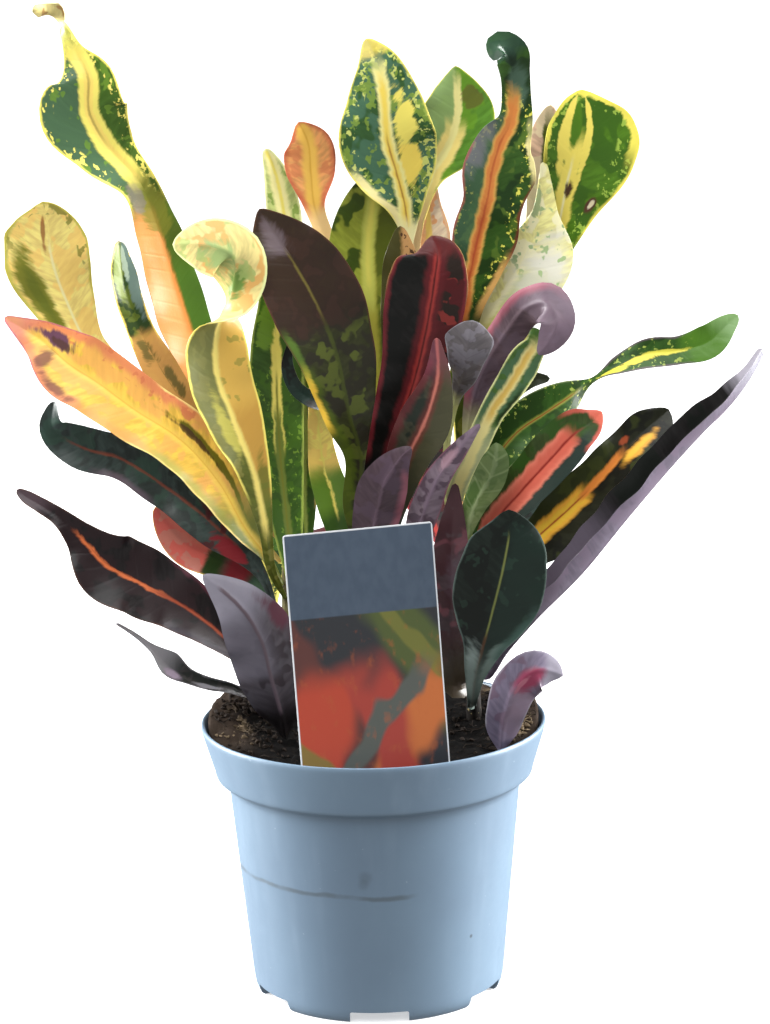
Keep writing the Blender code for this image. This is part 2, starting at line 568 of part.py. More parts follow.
def soil_profile():
    rim = collar_inside(SOIL_LEVEL)
    top = [(rim * ring / SOIL_RINGS, SOIL_LEVEL) for ring in range(SOIL_RINGS + 1)]
    sides = [
        (collar_inside(93.0) - GAP, 93.0),
        (WALL_TOP_RADIUS + 2.4, COLLAR_BOTTOM + 3.1),
        (WALL_TOP_RADIUS - WALL - 0.6, COLLAR_BOTTOM - 1.5),
        (BASE_RADIUS - WALL - 0.9, FLOOR_UNDERSIDE + WALL + 3.4),
        (BASE_RADIUS - WALL - 2.4, FLOOR_UNDERSIDE + WALL + GAP),
        (0.0, FLOOR_UNDERSIDE + WALL + GAP),
    ]
    return top + sides


def make_soil(parts, cutters):
    material = new_material("soil_peat", (0.05, 0.035, 0.025), 0.95)
    blank = turned("soil", soil_profile(), parts, material)
    mesh = applied(blank, "soil")
    bpy.data.objects.remove(blank, do_unlink=True)
    for vertex in mesh.vertices:
        if vertex.co.z > (SOIL_LEVEL - 1.0) * MM:
            x, y = vertex.co.x / MM, vertex.co.y / MM
            height = soil_top(x, y)
            inward = min(1.0, (collar_inside(height) - GAP) / max(math.hypot(x, y), 1.0))
            vertex.co = Vector((x * inward, y * inward, height)) * MM
    soil = new_object("soil", mesh, parts)
    cut(soil, stem_sockets(cutters))
    cut(soil, label_slot("card_slot", LABEL_WIDTH, SHOULDER, cutters))
    cut(soil, label_slot("stake_slot", STAKE_WIDTH, STAKE_LENGTH, cutters))
    return soil


def stem_sockets(collection):
    bm = bmesh.new()
    depth = 60.0
    for points in STEMS.values():
        x, y, bottom = points[0]
        middle = bottom - GAP + depth / 2
        bmesh.ops.create_cone(
            bm,
            cap_ends=True,
            segments=16,
            radius1=(STEM_RADII[0] + GAP) * MM,
            radius2=(STEM_RADII[0] + GAP) * MM,
            depth=depth * MM,
            matrix=Matrix.Translation((x * MM, y * MM, middle * MM)),
        )
    return new_object("stem_sockets", mesh_from(bm, "stem_sockets"), collection)


# ---------------------------------------------------------------- label


def label_place():
    """The label's own frame: its face is in XZ, and its foot is where card turns into stake."""
    turn = Matrix.Rotation(math.radians(LABEL_YAW), 4, "Z")
    lean = Matrix.Rotation(math.radians(-LABEL_LEAN), 4, "X")
    tilt = Matrix.Rotation(math.radians(-LABEL_TILT), 4, "Y")
    return Matrix.Translation(Vector(LABEL_FOOT) * MM) @ turn @ lean @ tilt


def label_slot(name, width, depth, collection):
    """A slot in the soil as wide as a piece of the label, down to a depth below its foot."""
    bm = bmesh.new()
    length = depth + GAP + 20.0
    size = Matrix.Diagonal(
        ((width + 2 * GAP) * MM, (LABEL_THICKNESS + 2 * GAP) * MM, length * MM, 1.0)
    )
    middle = Matrix.Translation((0.0, 0.0, (length / 2 - depth - GAP) * MM))
    bmesh.ops.create_cube(bm, size=1.0, matrix=label_place() @ middle @ size)
    return new_object(name, mesh_from(bm, name), collection)


def make_label(parts):
    """A flat outline, given its thickness: a card with a stake that stands in the soil."""
    half = LABEL_WIDTH / 2
    stake = STAKE_WIDTH / 2
    outline = [
        (-half, LABEL_HEIGHT),
        (-half, 0.0),
        (-stake, -SHOULDER),
        (-stake + 3.0, -STAKE_LENGTH),
        (stake - 3.0, -STAKE_LENGTH),
        (stake, -SHOULDER),
        (half, 0.0),
        (half, LABEL_HEIGHT),
    ]
    curve = bpy.data.curves.new("plant_label", "CURVE")
    curve.dimensions = "2D"
    curve.fill_mode = "BOTH"
    curve.extrude = LABEL_THICKNESS / 2 * MM
    spline = curve.splines.new("POLY")
    spline.points.add(len(outline) - 1)
    for point, (x, z) in zip(spline.points, outline):
        point.co = (x * MM, z * MM, 0.0, 1.0)
    spline.use_cyclic_u = True
    card = new_material("label_card", (0.10, 0.13, 0.18), 0.4)
    label = new_object("plant_label", curve, parts, card)
    label.matrix_world = label_place() @ Matrix.Rotation(math.radians(90), 4, "X")
    return label


# ---------------------------------------------------------------- stems


def along(points, height):
    """The point of a stem's centre line at a height."""
    for low, high in zip(points, points[1:]):
        if height <= high[2]:
            break
    share = (height - low[2]) / (high[2] - low[2])
    return Vector(low).lerp(Vector(high), share)


def stem_radius(points, height):
    share = (height - points[0][2]) / (points[-1][2] - points[0][2])
    return STEM_RADII[0] + (STEM_RADII[1] - STEM_RADII[0]) * share


def make_stem(name, points, parts, material):
    curve = bpy.data.curves.new(name, "CURVE")
    curve.dimensions = "3D"
    curve.bevel_depth = MM
    curve.bevel_resolution = 4
    curve.use_fill_caps = True
    spline = curve.splines.new("POLY")
    spline.points.add(len(points) - 1)
    for knot, point in zip(spline.points, points):
        knot.co = (*(Vector(point) * MM), 1.0)
        knot.radius = stem_radius(points, point[2])
    return new_object(name, curve, parts, material)


# ---------------------------------------------------------------- leaves


def leaf_start(leaf):
    """The first station of a leaf's midrib: just clear of its stem, or of the soil."""
    first = Vector(leaf["rib"][0][:3])
    turn = leaf["rib"][0][4]
    if leaf["start"][0] == "soil":
        _, x, y = leaf["start"]
        return (x, y, soil_top(x, y) + 0.9, LEAST_HALF_WIDTH, turn)
    stem, height = leaf["start"]
    points = STEMS[stem]
    centre = along(points, height)
    outward = (first - centre) * Vector((1, 1, 0))
    reach = stem_radius(points, height) + LEAF_GAP + LEAF_THICKNESS / 2
    return (*(centre + outward.normalized() * reach), LEAST_HALF_WIDTH, turn)


def stations(leaf):
    """The midrib's stations as rows of x, y, z, half width and turn, and how far along each is."""
    rows = np.array([leaf_start(leaf), *leaf["rib"]], dtype=float)
    steps = np.linalg.norm(np.diff(rows[:, :3], axis=0), axis=1)
    return rows, np.concatenate([[0.0], np.cumsum(steps)])


def slopes(rows, reach):
    """The slope of each station's values, so that a smooth curve runs through them."""
    step = np.diff(reach)[:, None]
    chord = np.diff(rows, axis=0) / step
    inner = (chord[:-1] * step[1:] + chord[1:] * step[:-1]) / (step[1:] + step[:-1])
    return np.vstack([chord[:1], inner, chord[-1:]])


def station_at(rows, reach, slope, distance):
    """The values at a distance along the midrib, by a cubic through the stations."""
    index = int(np.clip(np.searchsorted(reach, distance) - 1, 0, len(reach) - 2))
    step = reach[index + 1] - reach[index]
    t = (distance - reach[index]) / step
    return (
        rows[index] * (1 + 2 * t) * (1 - t) ** 2
        + rows[index + 1] * (3 - 2 * t) * t**2
        + slope[index] * step * t * (1 - t) ** 2
        - slope[index + 1] * step * t**2 * (1 - t)
    )


def leaf_surface(leaf):
    """A function of u, stalk to tip, and v, edge to edge, that gives the blade's points."""
    rows, reach = stations(leaf)
    slope = slopes(rows, reach)
    face = Vector(leaf.get("face", FRONT))
    cup = leaf.get("cup", 0.18)
    lean = leaf.get("lean", 0.0)
    small = reach[-1] * 0.004

    def point(u, v):
        distance = u * reach[-1]
        here = station_at(rows, reach, slope, distance)
        ahead = station_at(rows, reach, slope, min(distance + small, reach[-1]))
        behind = station_at(rows, reach, slope, max(distance - small, 0.0))
        along_rib = Vector(ahead[:3] - behind[:3]).normalized()
        flat = (face - along_rib * face.dot(along_rib)).normalized()
        side = along_rib.cross(flat)
        turn = math.radians(here[4])
        upper = flat * math.cos(turn) + side * math.sin(turn)
        side = along_rib.cross(upper)
        width = max(here[3], LEAST_HALF_WIDTH) * (1 + lean * math.copysign(min(abs(v), 1), v))
        lift = cup * width * abs(v) ** 1.5
        return (Vector(here[:3]) + side * width * v + upper * lift) * MM

    return point


def make_leaf(name, leaf, parts):
    """A flat grid laid over the blade's surface, then given its thickness."""
    surface = leaf_surface(leaf)
    rows = round(stations(leaf)[1][-1] / LEAF_ROW)
    bm = bmesh.new()
    bmesh.ops.create_grid(bm, x_segments=rows, y_segments=LEAF_COLUMNS, size=0.5)
    for vertex in bm.verts:
        vertex.co = surface(vertex.co.x + 0.5, -2 * vertex.co.y)
    material = new_material(name, leaf["tint"], 0.4)
    leaf_object = new_object(name, mesh_from(bm, name), parts, material)
    leaf_object.data.shade_smooth()
    shell = leaf_object.modifiers.new("Thickness", "SOLIDIFY")
    shell.thickness = LEAF_THICKNESS * MM
    shell.offset = 0.0
    return leaf_object


def main():
    clear_scene()
    parts = new_collection("potted_croton")
    cutters = new_collection("cutters")
    make_pot(parts, cutters)
    make_soil(parts, cutters)
    make_label(parts)
    bark = new_material("stem_bark", (0.22, 0.20, 0.10), 0.7)
    for name, points in STEMS.items():
        make_stem(name, points, parts, bark)
    for name, leaf in LEAVES.items():
        make_leaf(name, leaf, parts)


main()
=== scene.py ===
"""Potted croton: the finish of the pot, the soil, the label, the stems and every leaf.

Lengths in the tables are millimetres. The scene is metres, +Z up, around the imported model.
"""

import math
import random

import bmesh
import bpy
import numpy as np
from mathutils import Matrix, Vector, noise


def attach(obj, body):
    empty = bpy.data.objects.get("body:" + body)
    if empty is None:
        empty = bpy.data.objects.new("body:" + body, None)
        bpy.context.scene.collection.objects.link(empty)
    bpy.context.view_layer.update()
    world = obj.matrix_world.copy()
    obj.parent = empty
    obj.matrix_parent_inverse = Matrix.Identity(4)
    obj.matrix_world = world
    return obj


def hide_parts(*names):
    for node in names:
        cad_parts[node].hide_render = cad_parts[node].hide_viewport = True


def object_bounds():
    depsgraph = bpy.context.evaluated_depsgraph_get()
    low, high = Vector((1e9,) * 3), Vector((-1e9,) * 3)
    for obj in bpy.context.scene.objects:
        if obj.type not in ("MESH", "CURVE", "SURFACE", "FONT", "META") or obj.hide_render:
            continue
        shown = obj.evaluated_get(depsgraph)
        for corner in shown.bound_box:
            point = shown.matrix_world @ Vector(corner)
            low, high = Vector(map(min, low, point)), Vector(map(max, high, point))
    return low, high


MM = 0.001
BODY = "root"

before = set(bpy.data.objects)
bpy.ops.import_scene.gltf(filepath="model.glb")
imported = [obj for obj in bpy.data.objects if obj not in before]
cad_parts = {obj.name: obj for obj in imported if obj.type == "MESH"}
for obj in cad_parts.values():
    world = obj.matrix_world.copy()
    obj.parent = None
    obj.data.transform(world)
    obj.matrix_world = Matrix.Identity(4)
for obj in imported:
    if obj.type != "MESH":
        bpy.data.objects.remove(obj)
cad_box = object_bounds()

# Pot
POT_HEIGHT = 104.5
RIM_RADIUS = 65.0
WALL_TOP_RADIUS = 55.1
BASE_RADIUS = 47.3
POT_WALL = 1.4
COLLAR_BOTTOM = 84.0
FLOOR_UNDERSIDE = 5.0
PAD_RADIUS = 15.0
POT_STEPS = 160
NOTCHES = 6
NOTCH_WIDTH = 22.0
NOTCH_HEIGHT = 4.5
NOTCH_DEPTH = 14.0
NOTCH_ROUNDING = 0.8
DRAINS = 6
DRAIN_RADIUS = 4.0
DRAIN_CIRCLE = 30.0
SCUFF_HEIGHT = 54.0
# Each dark nick or smear on the wall: its middle, its reach and how strong it is
POT_NICKS = [
    ((34.7, -36.0, 29.8), 1.1, 0.9),
    ((-4.0, -52.8, 59.0), 3.6, 0.3),
    ((-4.8, -52.6, 56.2), 3.0, 0.25),
]
# Radius and height of the collar's inner side, where it starts and where it meets the lip
COLLAR_LOW = (WALL_TOP_RADIUS + 3.2, COLLAR_BOTTOM + 2.4)
COLLAR_HIGH = (RIM_RADIUS - POT_WALL - 0.1, POT_HEIGHT - 1.0)

# Soil
SOIL_LEVEL = 100.5
SOIL_SLOPE = 0.05
SOIL_GAP = 0.3
SOIL_SHOULDER = 93.0
SOIL_RINGS = 48
SOIL_STEPS = 200
CRUMBS = 700
CRUMB_SEED = 7
CRUMB_SPREAD = 13
FIBRES = 160
FIBRE_SEED = 11
FIBRE_SPREAD = 12
FIBRE_RADIUS = 0.16
# Each heap of the surface: its middle, its height and its spread
HEAPS = [((-54, 20), 8.0, 19), ((56, 12), 7.5, 16), ((0, 46), 4.0, 24)]
# Where crumbs and fibres gather
GATHERINGS = [(-50, -8), (54, -10), (-54, 14), (56, 8), (0, -58), (0, 20)]

# Label
LABEL_WIDTH = 54.5
LABEL_HEIGHT = 92.0
LABEL_THICKNESS = 0.6
STAKE_WIDTH = 16.0
STAKE_LENGTH = 17.0
STAKE_TAPER = 6.0
SHOULDER = 6.0
CORNER_CUT = 1.2
LABEL_FOOT = (1.0, -50.5, 97.0)
LABEL_TILT = 2.6
LABEL_YAW = 7.0
LABEL_LEAN = 4.5
PANEL_FOOT = 0.66
# Each sweep of the card's design: its ink, its offset and slope over the card, and its width
SWEEPS = [
    ("4e5a2a", 0.15, 1.1, 0.32),
    ("5c322c", 0.75, 0.9, 0.2),
    ("a8402c", 0.2, -0.8, 0.3),
    ("b46434", 0.86, -0.9, 0.22),
    ("6c6c30", 0.42, 1.6, 0.1),
    ("983a30", 0.95, 0.5, 0.2),
    ("50544f", 0.5, -1.4, 0.12),
    ("78382a", 0.02, 0.4, 0.14),
]

# Leaves
LEAST_HALF_WIDTH = 0.8
TIP_HALF_WIDTH = 0.12
STALK_GAP = 0.5
STALK_LIFT = 0.9
ROW_SPACING = 2.0
FEWEST_ROWS = 24
COLUMNS = 20
BLADE_THICKNESS = 0.5
RIB_THICKNESS = 1.3
RIB_WIDTH = 0.8
RIB_FADE = 0.6
GROOVE_DEPTH = 0.3
GROOVE_WIDTH = 0.9
USUAL_CUP = 0.18
EDGE_WAVE = 0.45
QUILT = 0.12
VEIN_SPACING = 7.0
VEIN_SLANT = 0.7
# Half width, in millimetres, from which a blade has its full waves and quilting
FULL_RELIEF = 8.0
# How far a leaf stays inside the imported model's box, in metres
BOX_MARGIN = 0.0007
# Farther than any point of a leaf from its edge
FAR = 1000.0

FRONT = (0.0, -0.974, 0.227)
UP = (0.0, 0.0, 1.0)

# Stems: bottom and top radius, then the points that each passes through
STEM_BOTTOM = 72.0
STEM_RADII = (3.2, 2.3)
STEM_SIDES = 20
BARK_INSET = 0.12
RING_SPACING = 1.6
SCAR_SPACING = 7.5
SCAR_SWELL = 0.22
STEMS = {
    "stem_left": [(-32, 6, STEM_BOTTOM), (-32, 6, 105), (-31, 7, 150), (-30, 8, 186)],
    "stem_centre": [(0, 14, STEM_BOTTOM), (0, 14, 110), (2, 14, 160), (4, 15, 212)],
    "stem_right": [(38, 0, STEM_BOTTOM), (38, 0, 110), (35, 3, 155), (33, 6, 196)],
}

# Each leaf: where its stalk starts, then the points of its midrib from stalk to tip, each with
# the half width of the blade there and how far the blade is turned about the midrib, in degrees.
# A stalk starts on a stem at a height, or on the soil at x and y. The blade's upper side looks
# along `face` at no turn. `cup` lifts the edges, and `lean` widens the side that turns last.
LEAVES = {
    # left stem
    "leaf_tall_left": dict(
        start=("stem_left", 180),
        rib=[(-40, 14, 199, 3.5, 10), (-57, 18, 228, 8, 20), (-69, 18, 263, 11, 30),
             (-75, 10, 290, 9, 25), (-81, 3, 309, 6.8, 12), (-92, -3, 324, 11.5, 5),
             (-98, -4, 337, 16, 0), (-98, -3, 349, 10.5, 0), (-103, 0, 359, 3.5, 0),
             (-106.5, 1, 366.5, 2.4, 40), (-111, -6, 373, 4.5, 140), (-116, -12, 375, 1.5, 150)],
        lean=-0.12),
    "leaf_round_left": dict(
        start=("stem_left", 164),
        rib=[(-45, 12, 177, 2, 10), (-67, 15, 205, 4, 10), (-95, 17, 240, 4, 10),
             (-103, 18, 247, 6.8, 10), (-111, 18, 264, 12, 5), (-115, 17, 277, 15.6, 0),
             (-116.5, 17, 287, 15.8, 0), (-117, 17, 294, 13.2, 0), (-117.5, 17, 298.5, 9, 0),
             (-118, 17, 301, 3.6, 0)],
        lean=-0.1),
    "leaf_long_orange": dict(
        start=("stem_left", 156),
        rib=[(-39, -1, 169, 2.2, 20), (-46, -7, 181, 5.5, 25), (-55, -13, 200, 10.5, 25),
             (-69, -18, 218, 12, 20), (-84, -20, 229, 12.5, 15), (-98, -20, 240, 13, 12),
             (-107, -19, 246, 13, 5), (-118, -15, 255, 7.5, 0), (-126, -13, 260, 3.5, 0),
             (-131, -12, 263, 1, 0)]),
    "leaf_small_olive": dict(
        start=("stem_left", 172),
        rib=[(-43, 4, 188, 2, 0), (-60, 0, 217, 3.2, 0), (-74, -2, 238, 6.5, 10),
             (-84, -4, 260, 5, 20), (-88, -6, 277, 5.5, 35), (-89, -4, 289, 2.2, 40)]),
    "leaf_curled_peach": dict(
        start=("stem_left", 151),
        rib=[(-37, -8, 167, 1.8, 0), (-38, -12, 180, 2.5, 0), (-42, -15, 204, 6.5, 20),
             (-49, -19, 226, 11.5, 25), (-54, -21, 243, 12.5, 25), (-54, -20.5, 254, 12, 32),
             (-52.5, -20, 261, 10.5, 58), (-50.5, -20.5, 265.5, 8.5, 98),
             (-48, -21.5, 270, 9.5, 140), (-46, -24, 277.5, 11, 165), (-47, -27, 287, 11, 180),
             (-57, -29, 291, 10, 190), (-68, -27, 291, 3.5, 190)]),
    "leaf_dark_left": dict(
        start=("stem_left", 138),
        rib=[(-41, 0, 162, 2.4, 15), (-57, 0, 180, 9, 20), (-75, -2, 196, 9, 20),
             (-92, -4, 208, 8, 10), (-106, -6, 213, 8, 0), (-116, -6, 221, 5, -20),
             (-115, -5, 230, 1.5, -30)]),
    "leaf_coral_left": dict(
        start=("stem_left", 130),
        rib=[(-45, 11, 157, 5, 10), (-58, 11, 165, 7.5, 10), (-69, 10, 171, 7.5, 0),
             (-76, 9, 179, 5, 0), (-80, 9, 186, 1.5, 0)]),
    "leaf_purple_left": dict(
        start=("stem_left", 113),
        rib=[(-47, -6, 130, 3, 20), (-59, -10, 144, 8.5, 25), (-71, -13, 154, 11.8, 25),
             (-85, -15, 162.5, 14, 25), (-98, -17, 171, 13, 15), (-106.5, -17, 181.5, 6, 5),
             (-113, -17, 188.5, 3.5, 0), (-121, -15, 193.5, 2.8, 0),
             (-126.5, -13, 196.5, 2.2, 0), (-129.5, -12, 198.5, 1, 0)]),
    "leaf_grey_front": dict(
        start=("soil", -33, -13),
        rib=[(-34, -22, 113, 7.5, 180), (-37, -28, 128, 12, 180), (-40.5, -32, 145, 13, 180),
             (-47, -34, 157, 10, 175), (-55.5, -32, 165, 5, 170), (-61, -30, 169, 1.1, 170)]),
    "leaf_rolled_left": dict(
        start=("stem_left", 110),
        rib=[(-48, 1, 115, 1.6, 10), (-54, -3, 118.5, 2, 10), (-61, -7, 121, 2.5, 20),
             (-69, -10, 125, 3.2, 25), (-76, -12, 130, 5, 30), (-82.5, -13, 137, 2.2, 50),
             (-88.5, -13, 142.5, 1.4, 60), (-95, -13, 147, 0.8, 70)],
        cup=0.5),
    "leaf_green_stripe": dict(
        start=("stem_left", 140),
        rib=[(-29, 0, 157, 2.2, 0), (-30, 0, 176, 5.2, 0), (-32, 2, 200, 8.2, 0),
             (-33, 4, 227, 9.7, 0), (-33, 5, 249, 9, 0), (-34, 6, 264, 5, 0),
             (-36, 7, 277, 1.5, 0)]),
    "leaf_green_thin": dict(
        start=("stem_left", 156),
        rib=[(-25, 12, 166, 1.8, 0), (-24, 15, 190, 5, 0), (-23, 17, 217, 6, 0),
             (-24, 18, 240, 5.2, 0), (-25, 18, 255, 1.5, 0)]),
    "leaf_teal_hook": dict(
        start=("stem_centre", 162),
        rib=[(-2, 8, 178, 1.6, 0), (-2, 7, 196, 1.8, 0), (-4, 5, 212, 1.8, 0),
             (-9, 3, 220.5, 2.2, 0), (-15, 1, 225.5, 2.9, 0), (-20.5, -3, 228.5, 3, 0),
             (-26, -7, 234, 2.7, 0), (-28.5, -8, 241.5, 2.3, 0), (-27.5, -7, 250, 1, 0)]),
    # centre stem
    "leaf_yellow_small": dict(
        start=("stem_centre", 146),
        rib=[(-9, 14, 165, 3.2, 0), (-13, 11, 187, 6.8, 0), (-16, 10.5, 198, 6, 0),
             (-17.5, 10, 210, 4.6, 0), (-18.5, 10, 225, 3, 0), (-20, 11, 233, 1.1, 0)]),
    "leaf_pale_narrow": dict(
        start=("stem_centre", 186),
        rib=[(-4, 24, 200, 1.6, 0), (-13.5, 36, 223, 2.4, 0), (-23, 42, 247, 3.8, 0),
             (-29, 46, 273, 6.1, 0), (-30, 48, 293, 6.4, 0), (-33, 48, 307, 4.2, 0),
             (-36, 46, 315, 1.5, 0)]),
    "leaf_orange_small": dict(
        start=("stem_centre", 196),
        rib=[(-5, 20, 207, 1.6, 0), (-9, 30, 229, 2, 0), (-12, 37, 251, 3.2, 0),
             (-14, 40, 281, 3.2, 0), (-18, 40, 294, 4, 0), (-19, 40, 307, 9.2, 0),
             (-20, 38, 319, 8.2, 0), (-23, 36, 326, 2, 0)]),
    "leaf_dark_brown": dict(
        start=("stem_centre", 150),
        rib=[(-3, 6, 167, 2, 0), (-3.5, 0, 187, 6, 0), (-2.5, -4, 207, 6, 0),
             (-6, -9, 223, 9.5, 0), (-11, -13, 249, 14.6, 5), (-18, -16, 268, 17.1, 5),
             (-26, -16, 283, 14.5, 5), (-33, -14, 294, 8, 0), (-37, -13, 301, 1.4, 0)]),
    "leaf_olive": dict(
        start=("stem_centre", 176),
        rib=[(3, 23, 192, 2.5, 0), (3, 24, 211, 6, 0), (3, 28, 240, 10.5, 0),
             (2, 30, 263, 13.5, 0), (2, 32, 282, 14.3, 0), (4, 32, 295, 11.2, 0),
             (7, 30, 310, 3, 0)]),
    "leaf_broad_top": dict(
        start=("stem_centre", 204),
        rib=[(9, 18, 218, 1.5, 0), (13, 21, 240, 1.5, 0), (15.5, 23, 260, 1.6, 0),
             (17, 22, 283, 2, 0), (16, 20, 296, 7, 0), (13, 18, 309, 15, 0), (10, 16, 321, 18, 0),
             (9, 16, 336, 14, 0), (7, 18, 349, 8, 0), (3, 22, 358, 1.5, 0)]),
    "leaf_green_top": dict(
        start=("stem_centre", 192),
        rib=[(12, 22, 206, 1.5, 0), (16, 31, 232, 1.6, 0), (18.5, 37, 262, 2, 0),
             (21, 38, 290, 3, 0), (26, 38, 305, 5.3, 0), (33.5, 38, 317, 11.3, 0),
             (36.5, 38, 328, 14, 0), (36.5, 38, 338, 8.5, 0), (36, 38, 345.5, 1.2, 0)]),
    "leaf_orange_back": dict(
        start=("stem_centre", 170),
        rib=[(11, 23, 187, 1.6, 0), (15, 38, 216, 2, 0), (19, 50, 255, 5.3, 0),
             (25, 54, 278, 8.4, 0), (25, 56, 291, 5.3, 0), (27, 56, 300, 1.5, 0)]),
    "leaf_red_large": dict(
        start=("stem_centre", 154),
        rib=[(3, 3, 168, 2.2, 0), (6, -8, 195, 6.7, 0), (13, -16, 222, 9.5, 0),
             (20, -21, 246, 12, 0), (24, -24, 265, 14.5, 0), (26, -24, 277, 14, 0),
             (27, -22, 286, 9.5, 0), (25, -20, 291, 2.2, 0)],
        lean=-0.15),
    "leaf_small_behind": dict(
        start=("stem_centre", 188),
        rib=[(6, 5, 205, 1.6, 0), (10, 4, 234, 3.7, 0), (13, 3, 264, 6.6, 0),
             (14, 3, 280, 6, 0), (14, 4, 291, 1.5, 0)]),
    "leaf_coral_rib": dict(
        start=("stem_centre", 144),
        rib=[(7, -5, 161, 1.6, 0), (8, -12, 176, 2, 0), (10, -19, 193, 5.1, 0),
             (15, -26, 211, 8, 0), (22, -32, 227, 9.4, 0), (26, -34, 242, 5, 0),
             (26, -34, 256, 1.1, 0)]),
    "leaf_pink_low": dict(
        start=("stem_centre", 138),
        rib=[(-2, -6, 155, 1.8, 180), (-2, -20, 171, 4.2, 180), (2.5, -28, 188, 8.6, 180),
             (7, -36, 205, 8, 180), (12, -38, 213, 4.3, 180), (16, -38, 217, 1.1, 180)]),
    "leaf_grey_narrow": dict(
        start=("stem_centre", 132),
        rib=[(9, 2, 148, 1.5, 180), (15, -12, 168, 3, 180), (20.5, -24, 190, 5.6, 180),
             (26, -29, 204, 4.6, 180), (33, -32, 214, 3.3, 180), (41, -34, 224, 0.8, 180)]),
    # right stem
    "leaf_hook_top": dict(
        start=("stem_right", 191),
        rib=[(35, 11, 202, 1.6, 0), (36, 9, 225, 2.5, 0), (36, 8, 244, 3.7, 0),
             (37, 7, 260, 6, 0), (40, 6, 275, 9.5, 0), (43, 5, 288, 12, 0), (46, 3, 300, 11, 0),
             (48, 2, 311, 13.5, 0), (51, 1, 321, 11, 0), (55.5, 0, 330, 6.4, 0),
             (56, 0, 339, 5.3, 0), (55.5, -2, 347, 5.4, 0), (54, -6, 354, 6.3, 0),
             (50.5, -11, 357, 4.5, 0), (48.5, -14, 353, 1.5, 0)],
        lean=0.2),
    "leaf_round_right": dict(
        start=("stem_right", 172),
        rib=[(42, 15, 189, 1.6, 0), (46, 20, 208, 1.6, 0), (54, 24, 236, 2, 0),
             (64, 24, 259, 3, 0), (69, 22, 274, 4.5, 0), (73, 20, 288, 7.5, 0),
             (76, 18, 303, 13.3, 0), (79, 16, 316, 16.8, 0), (81, 16, 327, 16.2, 0),
             (81.5, 17, 334, 11.5, 0), (82, 18, 338, 3.5, 0)],
        lean=0.33),
    "leaf_yellow_folded": dict(
        start=("stem_right", 182), lean=0.45,
        rib=[(34, 14, 199, 1.6, 0), (36, 15, 223, 2.2, 0), (42, 14, 249, 6.7, 0),
             (50, 13, 262, 10.5, 0), (57, 12, 273, 12.5, 0), (63, 12, 285, 11, 0),
             (65.5, 12, 294, 5, 0), (66.5, 13, 303, 2.8, 0), (67, 14, 312, 1.1, 0)]),
    "leaf_grey_tip": dict(
        start=("stem_right", 168),
        rib=[(29, -4, 195, 1.3, 180), (30, -8, 215, 1.4, 180), (33, -14, 230, 2, 180),
             (36, -24, 240, 5, 180), (37, -31, 249, 7.5, 180), (38, -33, 256, 8.8, 180),
             (39, -33, 262, 5, 180)]),
    "leaf_pink_edge": dict(
        start=("stem_right", 160),
        rib=[(38, -3, 190, 1.6, 180), (38.5, -6, 222, 3, 180), (44, -10, 240, 5.8, 180),
             (52, -15, 254, 6.6, 180), (60.5, -25, 265.5, 7, 180), (66.5, -31, 267, 7.4, 180),
             (69.5, -35, 261, 6.4, 180), (66.5, -36, 254.5, 4.6, 180),
             (62.5, -36, 249.5, 1.3, 180)]),
    "leaf_yellow_rib": dict(
        start=("stem_right", 150),
        rib=[(30, -8, 172, 1.3, 0), (33, -14, 196, 3.3, 0), (40, -16, 212, 4.4, 0),
             (46, -18, 225, 4.7, 0), (53, -20.5, 236, 5.8, 0), (58.5, -22, 245.5, 5.8, 0),
             (62, -23, 252, 3.8, 0), (61.5, -22.5, 257, 1.4, 0)]),
    "leaf_small_dark": dict(
        start=("stem_right", 184),
        rib=[(39, 5, 200, 1.3, 0), (44, 4, 216, 1.6, 0), (52, 2, 227, 3.3, 0), (60, 0, 233, 3.3, 0),
             (68, -2, 234, 1.1, 0)]),
    "leaf_olive_small": dict(
        start=("stem_right", 178),
        rib=[(34, 1, 194, 1.3, 0), (35, 2, 212, 2, 0), (37, 2, 226, 5, 0), (37, 2, 238, 5.5, 0),
             (38, 3, 247, 1.5, 0)]),
    "leaf_peach_behind": dict(
        start=("stem_right", 164),
        rib=[(41, 19, 182, 1.6, 0), (47, 28, 205, 1.6, 0), (56, 33, 240, 2, 0),
             (62, 34, 265, 2.5, 0), (66, 34, 290, 4.5, 0), (69, 33, 311, 6.5, 0),
             (70, 32, 323, 5.5, 0), (71, 31, 331, 1.5, 0)]),
    "leaf_pale_low": dict(
        start=("stem_right", 128),
        rib=[(32, -14, 153, 1.3, 180), (35, -20, 176, 1.4, 180), (39, -25, 192, 4.4, 180),
             (45, -28, 204, 5.8, 180), (47, -29, 211, 4.4, 180), (47, -29, 216, 1.5, 180)]),
    "leaf_crimson_upright": dict(
        start=("stem_right", 118),
        rib=[(32.5, -12, 119.5, 5, 0), (30.5, -17, 133, 7.4, 0), (30, -22, 154, 7.8, 0),
             (30, -24, 174, 6.8, 0), (31, -25, 188, 4.2, 0), (32, -24, 200, 1.1, 0)]),
    "leaf_long_right": dict(
        start=("stem_right", 164),
        rib=[(40, 1, 180, 1.6, 0), (46, -2, 201, 5.5, -10), (55, -5, 214, 8.6, -20),
             (66, -7, 222, 9.2, -20), (76, -9, 229, 6, -30), (84, -11, 235, 1.8, -60),
             (93, -11, 240, 3.8, -30), (103, -11, 244, 5.5, -10), (115, -10, 245, 5.2, 0),
             (126, -9, 248, 6.2, 0), (133, -8, 254, 3.8, 0), (137, -7, 257, 1.5, 0)]),
    "leaf_red_right": dict(
        start=("stem_right", 142),
        rib=[(41, -5, 164, 1.6, 0), (47, -10, 182, 6, -10), (56, -15, 194, 8.6, -20),
             (67, -19, 207, 9.6, -20), (76, -21, 217, 8.8, -20), (83, -21, 222, 5.2, -20),
